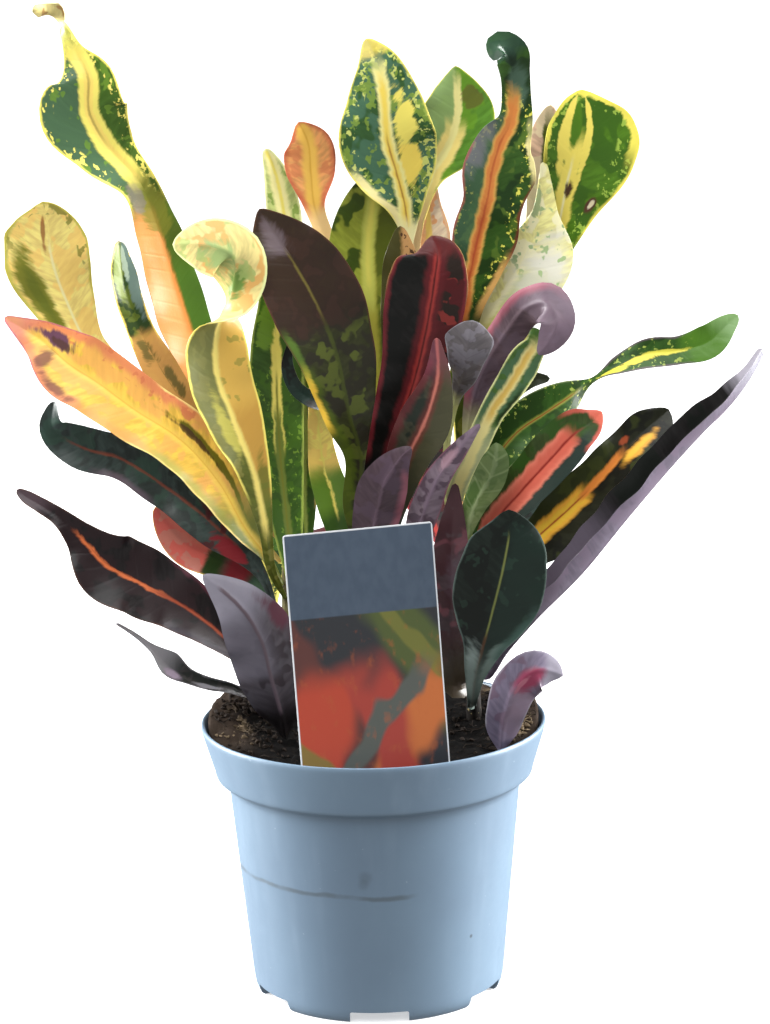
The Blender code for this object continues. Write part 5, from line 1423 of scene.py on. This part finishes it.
def leaf_frame(leaf, rib_line, distance):
    """The midrib's point, the way across, the way up and the half width, at a distance."""
    length = rib_line[1][-1]
    small = length * 0.004
    here = station_at(rib_line, distance)
    ahead = station_at(rib_line, min(distance + small, length))
    behind = station_at(rib_line, max(distance - small, 0.0))
    along = Vector(ahead[:3] - behind[:3]).normalized()
    face = Vector(leaf.get("face", FRONT))
    flat = (face - along * face.dot(along)).normalized()
    side = along.cross(flat)
    turn = math.radians(here[4])
    upper = flat * math.cos(turn) + side * math.sin(turn)
    width = max(here[3], LEAST_HALF_WIDTH)
    left = max(length - distance, 0.0)
    if left < width:
        width *= math.sqrt(max(1 - (1 - left / width) ** 2, 0.0))
    return Vector(here[:3]), along.cross(upper), upper, max(width, TIP_HALF_WIDTH)


def relief(v, across, distance, half, waves):
    """The heights that wave the blade's edges, quilt it between veins and groove its rib."""
    room = min(1.0, half / FULL_RELIEF)
    near = 0 if v > 0 else 2
    for phase, spacing in waves[near : near + 2]:
        swing = math.sin(math.tau * distance / spacing + phase)
        yield EDGE_WAVE * room * abs(v) ** 2.2 * swing
    course = distance - VEIN_SLANT * abs(across)
    pillow = abs(math.sin(math.pi * course / VEIN_SPACING)) - 0.6
    yield QUILT * room * pillow * min(1.0, abs(across) / 2) * (1 - abs(v) ** 3)
    groove = math.exp(-((across / GROOVE_WIDTH) ** 2))
    yield -GROOVE_DEPTH * groove * room


def inside_box(point):
    """The point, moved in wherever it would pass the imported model's box."""
    for axis in range(3):
        low, high = cad_box[0][axis] + BOX_MARGIN, cad_box[1][axis] - BOX_MARGIN
        point[axis] = min(max(point[axis], low), high)
    return point


def thickness_share(u, across, edge):
    """The blade's thickness at a point, as a share of the rib's at the stalk."""
    fading = 1 - RIB_FADE * u
    thick = BLADE_THICKNESS * min(1.0, 0.45 + edge / 3)
    ridge = math.exp(-((across / RIB_WIDTH) ** 2))
    thick += (RIB_THICKNESS * fading - BLADE_THICKNESS) * ridge
    return min(max(thick / RIB_THICKNESS, 0.05), 1.0)


def keep_rulers(mesh, uv, rulers):
    """Keeps each point's place on the leaf, as a UV map and as attributes, for the paint."""
    layer = mesh.uv_layers.active or mesh.uv_layers.new()
    layer.name = "blade"
    for loop in mesh.loops:
        layer.data[loop.index].uv = uv[loop.vertex_index]
    for label, rows in rulers.items():
        attribute = mesh.attributes.new(label, "FLOAT_VECTOR", "POINT")
        attribute.data.foreach_set("vector", np.array(rows, dtype=np.float32).ravel())


def make_leaf(name, leaf, skins):
    """A grid laid along the midrib and given relief, thick at the rib and thin at the rim."""
    rib_line = midrib(leaf)
    length = rib_line[1][-1]
    rng = random.Random(name)
    waves = [(rng.uniform(0, math.tau), rng.uniform(15, 27)) for _ in range(4)]
    cup = leaf.get("cup", USUAL_CUP)
    lean = leaf.get("lean", 0.0)
    rows = max(FEWEST_ROWS, round(length / ROW_SPACING))
    start_fresh()
    bpy.ops.mesh.primitive_grid_add(x_subdivisions=rows, y_subdivisions=COLUMNS, size=1)
    piece = named(name + "_leaf")
    mesh = piece.data
    spots = {}
    weights = []
    uv = []
    ruler = []
    feather = []
    seed = rng.uniform(0, 500)
    for vertex in mesh.vertices:
        along_share = vertex.co.x + 0.5
        share = -2 * vertex.co.y
        v = math.copysign(abs(share) ** 1.2, share)
        u = 1 - (1 - along_share) ** 1.25
        distance = u * length
        key = round(along_share, 5)
        if key not in spots:
            spots[key] = leaf_frame(leaf, rib_line, distance)
        centre, side, upper, half = spots[key]
        width = half * (1 + lean * v)
        across = width * v
        lift = cup * width * abs(v) ** 1.5
        for height in relief(v, across, distance, half, waves):
            lift += height
        vertex.co = inside_box((centre + side * across + upper * lift) * MM)
        edge = width * (1 - abs(v))
        if length - distance < half:
            edge = min(edge, length - distance)
        weights.append(thickness_share(u, across, edge))
        course = distance - VEIN_SLANT * abs(across)
        uv.append((u, (v + 1) / 2))
        ruler.append((distance, across, edge))
        feather.append((course, 0.35 * across + math.copysign(20, v), seed))
    keep_rulers(mesh, uv, {"ruler_mm": ruler, "feather_mm": feather})
    group = piece.vertex_groups.new(name="thickness")
    for index, weight in enumerate(weights):
        group.add([index], weight, "REPLACE")
    for skin in skins:
        mesh.materials.append(skin)
    apply_modifier(
        piece, "SOLIDIFY", thickness=RIB_THICKNESS * MM, offset=0.0, material_offset=1,
        vertex_group="thickness", use_even_offset=False,
    )
    piece.vertex_groups.clear()
    settle(piece)
    smooth(piece, 60)
    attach(piece, BODY)
    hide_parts(name)


# ---------------------------------------------------------------- pot


def pot_profile():
    """The pot's section: inside from the centre out and up, over the lip, down and under."""
    wall = POT_WALL
    floor = FLOOR_UNDERSIDE + wall
    inside = [
        (2.0, wall),
        (PAD_RADIUS - 1.5, wall),
        (PAD_RADIUS + 0.5, floor),
        (BASE_RADIUS - wall - 1.5, floor),
        (BASE_RADIUS - wall + 0.4, floor + 2.0),
        (WALL_TOP_RADIUS - wall, COLLAR_BOTTOM - 2.0),
        (WALL_TOP_RADIUS + 1.0, COLLAR_BOTTOM + 0.8),
        COLLAR_LOW,
        COLLAR_HIGH,
        (RIM_RADIUS - wall + 0.1, POT_HEIGHT - 0.4),
        (RIM_RADIUS - wall + 0.5, POT_HEIGHT - 0.1),
    ]
    outside = [
        (RIM_RADIUS - 0.6, POT_HEIGHT),
        (RIM_RADIUS - 0.15, POT_HEIGHT - 0.2),
        (RIM_RADIUS, POT_HEIGHT - 0.7),
        (RIM_RADIUS - 0.1, POT_HEIGHT - 1.6),
        (RIM_RADIUS - 0.4, POT_HEIGHT - 3.0),
        (WALL_TOP_RADIUS + 5.3, COLLAR_BOTTOM + 3.4),
        (WALL_TOP_RADIUS + 5.0, COLLAR_BOTTOM + 1.9),
        (WALL_TOP_RADIUS + 4.6, COLLAR_BOTTOM + 0.9),
        (WALL_TOP_RADIUS + 3.9, COLLAR_BOTTOM + 0.3),
        (WALL_TOP_RADIUS + 2.2, COLLAR_BOTTOM - 0.3),
        (WALL_TOP_RADIUS + 1.0, COLLAR_BOTTOM - 1.1),
        (WALL_TOP_RADIUS + 0.3, COLLAR_BOTTOM - 2.4),
        (WALL_TOP_RADIUS - 0.15, COLLAR_BOTTOM - 4.2),
        (BASE_RADIUS + 0.5, 7.0),
        (BASE_RADIUS + 0.2, 4.6),
        (BASE_RADIUS - 0.2, 2.6),
        (BASE_RADIUS - 0.9, 0.9),
        (BASE_RADIUS - 2.0, 0.0),
    ]
    under = [
        (BASE_RADIUS - 4.0, 0.0),
        (BASE_RADIUS - 4.8, FLOOR_UNDERSIDE),
        (PAD_RADIUS + 1.6, FLOOR_UNDERSIDE),
        (PAD_RADIUS, 0.0),
        (2.0, 0.0),
    ]
    return inside + outside + under


def pot_plastic():
    """Satin blue-grey moulding, with faint flow marks, a scuffed line and a few dark nicks."""
    material, tree, shader = new_material(
        "pot_plastic_satin", Specular_IOR_Level=0.85, Coat_Weight=0.0
    )
    place = tree.object_place()
    x, y, z = tree.split(place)
    cloud = tree.noise(place, 18.0, detail=4.0)
    colour = tree.mix(tree.ramp(cloud, 0.25, 0.75), ink("61768a"), ink("698094"))
    stretched = tree.node("Mapping", {"Vector": place, "Scale": (1.0, 1.0, 0.12)}).outputs[0]
    flow = tree.noise(stretched, 90.0, detail=3.0)
    colour = tree.mix(tree.times(tree.ramp(flow, 0.5, 0.8), 0.25), colour, ink("8498ac"))
    wander = tree.noise(place, 36.0, detail=6.0)
    level = tree.times_plus(wander, 0.006, z)
    scuff = tree.maths("ABSOLUTE", tree.minus(level, SCUFF_HEIGHT * MM))
    scuff = tree.ramp(scuff, 0.0002, 0.0013, 1.0, 0.0)
    broken = tree.noise(place, 60.0, detail=2.0)
    side = tree.ramp(x, 0.017, 0.008)
    front = tree.ramp(y, 0.0, -0.01)
    scuff = tree.times(scuff, tree.ramp(broken, 0.3, 0.55, 0.25, 1.0))
    scuff = tree.times(scuff, tree.times(side, front))
    colour = tree.mix(tree.times(scuff, 0.7), colour, ink("48535a"))
    for nick, size, strength in POT_NICKS:
        gap = tree.node("VectorMath", {0: place, 1: Vector(nick) * MM}, operation="DISTANCE")
        spot = tree.ramp(gap.outputs["Value"], size * 0.2 * MM, size * MM, strength, 0.0)
        colour = tree.mix(spot, colour, ink("333d45"))
    dust = tree.noise(place, 420.0, detail=2.0)
    colour = tree.mix(tree.ramp(dust, 0.74, 0.8, 0.0, 0.35), colour, ink("aab7c4"))
    rough = tree.times_plus(tree.noise(place, 240.0, detail=3.0), 0.2, 0.38)
    grain = tree.noise(place, 1500.0, detail=2.0)
    finish_skin(tree, shader, colour, rough, tree.bump(grain, 0.08, 0.1))
    return material


def make_pot():
    """The turned shell, with notches cut in its foot and drain holes in its floor."""
    pot = turned("pot_shell", pot_profile(), POT_STEPS)
    for index in range(NOTCHES):
        angle = math.tau * index / NOTCHES
        start_fresh()
        bpy.ops.mesh.primitive_cube_add(size=1)
        cutter = named("notch_cutter")
        size = Matrix.Diagonal((NOTCH_WIDTH * MM, NOTCH_DEPTH * MM, 2 * NOTCH_HEIGHT * MM, 1.0))
        place = Matrix.Translation((0.0, -BASE_RADIUS * MM, 0.0))
        settle(cutter, Matrix.Rotation(angle, 4, "Z") @ place @ size)
        apply_modifier(cutter, "BEVEL", width=NOTCH_ROUNDING * MM, segments=3)
        cut_away(pot, cutter)
    for index in range(DRAINS):
        angle = math.tau * (index + 0.5) / DRAINS
        start_fresh()
        bpy.ops.mesh.primitive_cylinder_add(
            vertices=32, radius=DRAIN_RADIUS * MM, depth=3 * POT_WALL * MM,
            location=(
                DRAIN_CIRCLE * MM * math.cos(angle),
                DRAIN_CIRCLE * MM * math.sin(angle),
                (FLOOR_UNDERSIDE + POT_WALL / 2) * MM,
            ),
        )
        cutter = named("drain_cutter")
        settle(cutter)
        cut_away(pot, cutter)
    pot.data.materials.clear()
    pot.data.materials.append(pot_plastic())
    smooth(pot, 35)
    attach(pot, BODY)
    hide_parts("pot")


# ---------------------------------------------------------------- soil


def heap(x, y, centre, height, spread):
    """How much one heap lifts the surface, in millimetres."""
    square = (x - centre[0]) ** 2 + (y - centre[1]) ** 2
    return height * math.exp(-square / (2 * spread**2))


def soil_top(x, y):
    """Height of the soil's surface: low behind the label, heaped at the sides and the back."""
    height = SOIL_LEVEL + SOIL_SLOPE * y
    for centre, rise, spread in HEAPS:
        height += heap(x, y, centre, rise, spread)
    height += 0.7 * math.sin(x / 5.0 + 1.0) * math.cos(y / 6.0)
    return height


def lumps(x, y):
    """Clods and pits of the surface, in millimetres."""
    rough = noise.fractal(Vector((x / 6, y / 6, 3.0)), 0.6, 2.1, 5)
    clods = noise.cell(Vector((x / 4.2, y / 4.2, 8.0)))
    return 1.1 * rough + 0.5 * clods


def rough_top(x, y):
    """Height of the surface with its clods and pits."""
    return soil_top(x, y) + lumps(x, y)


def soil_radius(height):
    """Radius of the soil inside the collar at a height."""
    share = (height - COLLAR_LOW[1]) / (COLLAR_HIGH[1] - COLLAR_LOW[1])
    return COLLAR_LOW[0] + (COLLAR_HIGH[0] - COLLAR_LOW[0]) * min(share, 1.0) - SOIL_GAP


def dry_rim(tree, place):
    """One where the soil has dried out by the collar, at the sides and behind."""
    x, y, _ = tree.split(place)
    radius = tree.maths("SQRT", tree.times_plus(x, x, tree.times(y, y)))
    radius = tree.times_plus(tree.noise(place, 60.0, detail=3.0), 0.02, radius)
    outer = tree.ramp(radius, 0.055, 0.066)
    return tree.times(outer, tree.ramp(y, -0.034, -0.012))


def peat():
    """Dark damp peat with paler crumbs and fibres worked into it."""
    material, tree, shader = new_material("peat", Specular_IOR_Level=0.06)
    place = tree.object_place()
    coarse = tree.noise(place, 160.0, detail=5.0, roughness=0.65)
    colour = tree.mix(tree.ramp(coarse, 0.35, 0.7), ink("050505"), ink("0e0c0b"))
    fine = tree.noise(place, 700.0, detail=3.0)
    dry = dry_rim(tree, place)
    colour = tree.mix(tree.times(dry, 0.8), colour, ink("342b24"))
    colour = tree.mix(tree.ramp(fine, 0.6, 0.75, 0.0, 0.35), colour, ink("3c3128"))
    rough = tree.times_plus(fine, 0.3, 0.7)
    finish_skin(tree, shader, colour, rough, tree.bump(coarse, 0.9, 1.0))
    return material


def chips():
    """Bark chips, crumbs and root fibres, from near black to tan."""
    material, tree, shader = new_material("peat_chips", Specular_IOR_Level=0.12)
    place = tree.object_place()
    tone = tree.noise(place, 70.0, detail=1.0)
    pale = tree.mix(dry_rim(tree, place), ink("1e1813"), ink("7a6a54"))
    colour = tree.mix(tree.ramp(tone, 0.4, 0.62), ink("1c1510"), pale)
    grain = tree.noise(place, 900.0, detail=3.0)
    colour = tree.mix(tree.ramp(grain, 0.45, 0.75, 0.0, 0.5), colour, ink("17110c"))
    rough = tree.times_plus(grain, 0.2, 0.7)
    finish_skin(tree, shader, colour, rough, tree.bump(grain, 0.5, 0.3))
    return material


def make_soil():
    """Rings drawn in from the collar, then heaped and roughened; the body narrows below."""
    edge = soil_radius(SOIL_LEVEL)
    rings = [(edge * step / SOIL_RINGS, SOIL_LEVEL) for step in range(SOIL_RINGS, 0, -1)]
    floor = FLOOR_UNDERSIDE + POT_WALL
    sides = [
        (2.0, floor + SOIL_GAP),
        (BASE_RADIUS - POT_WALL - 2.4, floor + SOIL_GAP),
        (BASE_RADIUS - POT_WALL - 0.9, floor + 3.4),
        (WALL_TOP_RADIUS - POT_WALL - 0.6, COLLAR_BOTTOM - 1.5),
        (WALL_TOP_RADIUS + 2.4, COLLAR_BOTTOM + 3.1),
        (soil_radius(SOIL_SHOULDER), SOIL_SHOULDER),
    ]
    soil = turned("soil_fill", sides + rings, SOIL_STEPS)
    for vertex in soil.data.vertices:
        if vertex.co.z > (SOIL_LEVEL - 1.0) * MM:
            x, y = vertex.co.x / MM, vertex.co.y / MM
            height = rough_top(x, y)
            inward = min(1.0, soil_radius(height) / max(math.hypot(x, y), 1.0))
            vertex.co = Vector((x * inward, y * inward, height)) * MM
    soil.data.materials.append(peat())
    smooth(soil, 180)
    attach(soil, BODY)
    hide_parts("soil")


def soil_spot(rng, spread):
    """A random place on the soil, about one of the gatherings."""
    centre = rng.choice(GATHERINGS)
    while True:
        x = centre[0] + rng.gauss(0, spread)
        y = centre[1] + rng.gauss(0, spread)
        if math.hypot(x, y) < soil_radius(SOIL_LEVEL) - 2.5:
            return x, y, rough_top(x, y)


def make_crumbs(material):
    """One crumb shaped as a rough ball, then copied, turned and sized over the soil."""
    rng = random.Random(CRUMB_SEED)
    start_fresh()
    bpy.ops.mesh.primitive_ico_sphere_add(subdivisions=2, radius=MM)
    crumbs = named("soil_crumbs")
    for vertex in crumbs.data.vertices:
        vertex.co *= 0.75 + 0.5 * noise.noise(vertex.co / MM * 1.3)
    bm = bmesh.new()
    for _ in range(CRUMBS):
        x, y, z = soil_spot(rng, CRUMB_SPREAD)
        size = rng.uniform(0.35, 1.0) ** 1.5 * 1.5
        shape = (rng.uniform(0.6, 1.8), rng.uniform(0.6, 1.2), rng.uniform(0.4, 0.9), 1)
        turn = Matrix.Rotation(rng.uniform(0, math.tau), 4, Vector((rng.random(), rng.random(), 1)))
        place = Matrix.Translation(Vector((x, y, z + 0.3 * size)) * MM)
        copy = bmesh.new()
        copy.from_mesh(crumbs.data)
        copy.transform(place @ turn @ Matrix.Diagonal(shape) @ Matrix.Scale(size, 4))
        temporary = bpy.data.meshes.new("crumb")
        copy.to_mesh(temporary)
        copy.free()
        bm.from_mesh(temporary)
        bpy.data.meshes.remove(temporary)
    bm.to_mesh(crumbs.data)
    bm.free()
    crumbs.data.materials.append(material)
    smooth(crumbs, 40)
    return crumbs


def make_fibres(material):
    """Short root fibres and slivers, each a thin bent strand."""
    rng = random.Random(FIBRE_SEED)
    strands = bpy.data.curves.new("soil_fibres", "CURVE")
    strands.dimensions = "3D"
    strands.bevel_depth = FIBRE_RADIUS * MM
    strands.bevel_resolution = 1
    strands.use_fill_caps = True
    for _ in range(FIBRES):
        x, y, _ = soil_spot(rng, FIBRE_SPREAD)
        heading = rng.uniform(0, math.tau)
        step = rng.uniform(0.8, 2.2)
        spline = strands.splines.new("POLY")
        spline.points.add(4)
        for index, point in enumerate(spline.points):
            height = rough_top(x, y) + 0.5 + 0.5 * math.sin(index * 1.3 + heading)
            point.co = (x * MM, y * MM, height * MM, 1.0)
            point.radius = rng.uniform(0.7, 1.6)
            heading += rng.uniform(-0.6, 0.6)
            x += step * math.cos(heading)
            y += step * math.sin(heading)
            room = min(1.0, (soil_radius(SOIL_LEVEL) - 1.0) / max(math.hypot(x, y), 1.0))
            x, y = x * room, y * room
    fibres = bpy.data.objects.new("soil_fibres", strands)
    bpy.context.scene.collection.objects.link(fibres)
    pick(fibres)
    bpy.ops.object.convert(target="MESH")
    fibres = bpy.context.object
    fibres.data.materials.clear()
    fibres.data.materials.append(material)
    smooth(fibres, 60)
    return fibres


# ---------------------------------------------------------------- label


def label_place():
    """The label's own frame: its face is in XZ, and its foot is where card turns to stake."""
    turn = Matrix.Rotation(math.radians(LABEL_YAW), 4, "Z")
    lean = Matrix.Rotation(math.radians(-LABEL_LEAN), 4, "X")
    tilt = Matrix.Rotation(math.radians(-LABEL_TILT), 4, "Y")
    return Matrix.Translation(Vector(LABEL_FOOT) * MM) @ turn @ lean @ tilt


def label_print():
    """A plain slate panel over soft overlapping leaf-like sweeps of warm and dark colour."""
    material, tree, shader = new_material("label_print", Specular_IOR_Level=0.5, Coat_Weight=0.1)
    face = tree.node("UVMap", uv_map="card").outputs[0]
    x, y, _ = tree.split(face)
    sway = tree.noise(face, 2.2, detail=2.0)
    colour = ink("2a2c30")
    warm = tree.ramp(tree.times_plus(sway, 0.3, y), 0.66, 0.5)
    for code, offset, slope, width in SWEEPS:
        line = tree.times_plus(y, slope, x)
        line = tree.times_plus(sway, 0.5, line)
        repeat = tree.maths("PINGPONG", tree.minus(line, offset), 0.75)
        cover = tree.ramp(repeat, width * 0.55, width, 1.0, 0.0)
        cover = tree.times(cover, warm if slope < 0.8 else 0.8)
        colour = tree.mix(cover, colour, ink(code))
    fleck = tree.noise(face, 14.0, detail=3.0)
    colour = tree.mix(tree.ramp(fleck, 0.55, 0.75, 0.0, 0.4), colour, ink("a2552e"))
    panel = tree.ramp(y, PANEL_FOOT - 0.004, PANEL_FOOT + 0.004)
    slate = tree.mix(tree.ramp(fleck, 0.3, 0.7), ink("3e4b5b"), ink("455262"))
    colour = tree.mix(panel, colour, slate)
    inset = tree.maths("MINIMUM", x, tree.minus(1.0, x))
    top = tree.times(tree.minus(1.0, y), LABEL_HEIGHT / LABEL_WIDTH)
    inset = tree.maths("MINIMUM", inset, top)
    colour = tree.mix(tree.ramp(inset, 0.006, 0.012, 1.0, 0.0), colour, ink("cfd3d8"))
    sheen = tree.noise(face, 40.0, detail=2.0)
    rough = tree.times_plus(sheen, 0.12, 0.34)
    finish_skin(tree, shader, colour, rough, tree.bump(sheen, 0.05, 0.1))
    return material


def label_board():
    """The card's white edge and back, with a paper tooth."""
    material, tree, shader = new_material("label_board", Specular_IOR_Level=0.4)
    place = tree.object_place()
    tooth = tree.noise(place, 900.0, detail=3.0)
    colour = tree.mix(tree.ramp(tooth, 0.3, 0.7), ink("d6d8da"), ink("e8e9ea"))
    rough = tree.times_plus(tooth, 0.15, 0.45)
    finish_skin(tree, shader, colour, rough, tree.bump(tooth, 0.1, 0.1))
    return material


def make_label():
    """A card with rounded corners, its foot drawn down and in to a stake, then thickened."""
    start_fresh()
    bpy.ops.mesh.primitive_plane_add(size=1, rotation=(math.radians(90), 0, 0))
    label = named("plant_label_card")
    label.scale = (LABEL_WIDTH * MM, LABEL_HEIGHT * MM, 1)
    label.location = (0, 0, LABEL_HEIGHT / 2 * MM)
    settle(label)
    bpy.ops.object.mode_set(mode="EDIT")
    bpy.ops.mesh.select_mode(type="EDGE")
    bpy.ops.mesh.select_all(action="DESELECT")
    bm = bmesh.from_edit_mesh(label.data)
    for edge in bm.edges:
        edge.select_set(all(vertex.co.z < 1e-5 for vertex in edge.verts))
    bmesh.update_edit_mesh(label.data)
    drops = [
        (SHOULDER, STAKE_WIDTH / LABEL_WIDTH),
        (STAKE_LENGTH - SHOULDER, 1 - STAKE_TAPER / STAKE_WIDTH),
    ]
    height = 0.0
    for drop, narrow in drops:
        height -= drop * MM
        draw_out((0, 0, -drop * MM), (narrow, 1, 1), (0, 0, height))
    bpy.ops.mesh.select_mode(type="VERT")
    bpy.ops.mesh.select_all(action="DESELECT")
    bm = bmesh.from_edit_mesh(label.data)
    for vertex in bm.verts:
        vertex.select_set(vertex.co.z > (LABEL_HEIGHT - 1) * MM)
    bmesh.update_edit_mesh(label.data)
    bpy.ops.mesh.bevel(offset=CORNER_CUT * MM, segments=5, affect="VERTICES")
    bpy.ops.object.mode_set(mode="OBJECT")
    layer = label.data.uv_layers.active or label.data.uv_layers.new()
    layer.name = "card"
    for loop in label.data.loops:
        point = label.data.vertices[loop.vertex_index].co
        across = point.x / (LABEL_WIDTH * MM) + 0.5
        layer.data[loop.index].uv = (across, point.z / (LABEL_HEIGHT * MM))
    for skin in (label_print(), label_board()):
        label.data.materials.append(skin)
    apply_modifier(
        label, "SOLIDIFY", thickness=LABEL_THICKNESS * MM, offset=0.0,
        material_offset=1, material_offset_rim=1,
    )
    settle(label, label_place())
    smooth(label, 30)
    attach(label, BODY)
    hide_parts("plant_label")


# ---------------------------------------------------------------- stems


def bark():
    """Olive young bark in fine streaks, with pale lenticels, near black down by the soil."""
    material, tree, shader = new_material("young_bark", Specular_IOR_Level=0.15)
    place = tree.object_place()
    drawn = tree.node("Mapping", {"Vector": place, "Scale": (1.0, 1.0, 0.3)}).outputs[0]
    streak = tree.noise(drawn, 420.0, detail=4.0)
    low = tree.ramp(tree.split(place)[2], 0.118, 0.15)
    dark = tree.mix(low, ink("080706"), ink("3f3a22"))
    pale = tree.mix(low, ink("1a1410"), ink("77704a"))
    colour = tree.mix(tree.ramp(streak, 0.3, 0.7), dark, pale)
    spot = tree.noise(place, 700.0, detail=1.0)
    colour = tree.mix(tree.ramp(spot, 0.68, 0.74, 0.0, 0.7), colour, ink("a89a70"))
    rough = tree.times_plus(streak, 0.2, 0.55)
    finish_skin(tree, shader, colour, rough, tree.bump(streak, 0.5, 0.4))
    return material


def make_stem(name, points, skin):
    """A rod drawn up along the stem's line, swollen a little at each leaf scar."""
    bottom = points[0][2]
    top = points[-1][2]
    here = Vector(points[0])
    size = STEM_RADII[0]
    stem = start_rings(name + "_bark", size, STEM_SIDES, here * MM)
    steps = round((top - bottom) / RING_SPACING)
    for step in range(1, steps + 1):
        height = bottom + (top - bottom) * step / steps
        there = along_stem(points, height)
        swell = SCAR_SWELL * max(0.0, math.sin(math.tau * height / SCAR_SPACING)) ** 4
        wanted = stem_radius(points, height) + swell - BARK_INSET
        scale = wanted / size
        draw_out((there - here) * MM, (scale, scale, 1), there * MM)
        here, size = there, wanted
    end_rings()
    stem.data.materials.append(skin)
    smooth(stem, 50)
    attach(stem, BODY)
    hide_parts(name)


# ---------------------------------------------------------------- studio


def add_light(name, place, aim, size, watts):
    """A white softbox that looks at its aim and is not seen itself."""
    light = bpy.data.lights.new(name, "AREA")
    light.shape = "RECTANGLE"
    light.size, light.size_y = size
    light.energy = watts
    lamp = bpy.data.objects.new(name, light)
    bpy.context.scene.collection.objects.link(lamp)
    lamp.location = place
    lamp.rotation_euler = (Vector(aim) - Vector(place)).to_track_quat("-Z", "Y").to_euler()
    lamp.visible_camera = False
    return lamp


def studio():
    """A pale floor, a white surround, a soft sky and soft lights at both sides and in front."""
    start_fresh()
    bpy.ops.mesh.primitive_plane_add(size=FLOOR_SIZE)
    floor = named("studio_floor")
    material, tree, shader = new_material("pale_floor", Specular_IOR_Level=0.0, Roughness=1.0)
    shade = tree.noise(tree.object_place(), 2.0)
    tree.put(shader.inputs["Base Color"], tree.mix(shade, ink("dedede"), ink("e2e2e2")))
    shader.inputs["Emission Color"].default_value = (1, 1, 1, 1)
    shader.inputs["Emission Strength"].default_value = FLOOR_GLOW
    floor.data.materials.append(material)
    floor.visible_diffuse = False
    floor.visible_glossy = False
    lamps = {name: add_light(name, *values) for name, values in SOFTBOXES.items()}
    lamps["front_softbox"].visible_glossy = False
    sky = bpy.data.lights.new("sky", "SUN")
    sky.energy = SKY_ENERGY
    sky.angle = math.radians(SKY_ANGLE)
    lamp = bpy.data.objects.new("sky", sky)
    bpy.context.scene.collection.objects.link(lamp)
    lamp.rotation_euler = (math.radians(SKY_TILT), 0, 0)
    surround()


def surround():
    """White as the camera sees it, and dimmer as a light, from below brighter than from above."""
    world = bpy.data.worlds.new("surround")
    bpy.context.scene.world = world
    world.use_nodes = True
    tree = Tree(world.node_tree)
    background = world.node_tree.nodes["Background"]
    seen = tree.node("LightPath").outputs["Is Camera Ray"]
    tree.put(background.inputs["Color"], (1.0, 1.0, 1.0))
    height = tree.split(tree.node("TexCoord").outputs["Generated"])[2]
    around = tree.ramp(height, -0.1, 0.1, SURROUND_BELOW, SURROUND_ABOVE)
    strength = tree.maths("MAXIMUM", around, tree.times(seen, SURROUND_SEEN))
    tree.put(background.inputs["Strength"], strength)
    bpy.context.scene.view_settings.view_transform = "Standard"


def camera():
    """The camera in front of the plant, looking a little down on it."""
    data = bpy.data.cameras.new("camera")
    data.lens = CAMERA_LENS
    data.clip_start = 0.05
    lens = bpy.data.objects.new("camera", data)
    bpy.context.scene.collection.objects.link(lens)
    pitch = math.radians(CAMERA_PITCH)
    roll = math.radians(CAMERA_ROLL)
    ahead = Vector((0.0, math.cos(pitch), -math.sin(pitch)))
    lens.location = Vector(CAMERA_AIM) - ahead * CAMERA_DISTANCE
    turn = Matrix.Rotation(math.radians(90) - pitch, 3, "X") @ Matrix.Rotation(roll, 3, "Z")
    lens.rotation_euler = turn.to_euler()
    bpy.context.scene.camera = lens


# ---------------------------------------------------------------- assembly

RULER = make_ruler()
BRUSHES = {"band": make_band_brush(), "patch": make_patch_brush(), "specks": make_speck_brush()}

camera()
studio()
make_pot()
make_soil()
chip_finish = chips()
for scatter in (make_crumbs(chip_finish), make_fibres(chip_finish)):
    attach(scatter, BODY)
make_label()
bark_finish = bark()
for stem_name, stem_points in STEMS.items():
    make_stem(stem_name, stem_points, bark_finish)
leaf_skins = finish_leaves()
for leaf_name, leaf_shape in LEAVES.items():
    make_leaf(leaf_name, leaf_shape, leaf_skins[leaf_name])

bpy.context.view_layer.update()
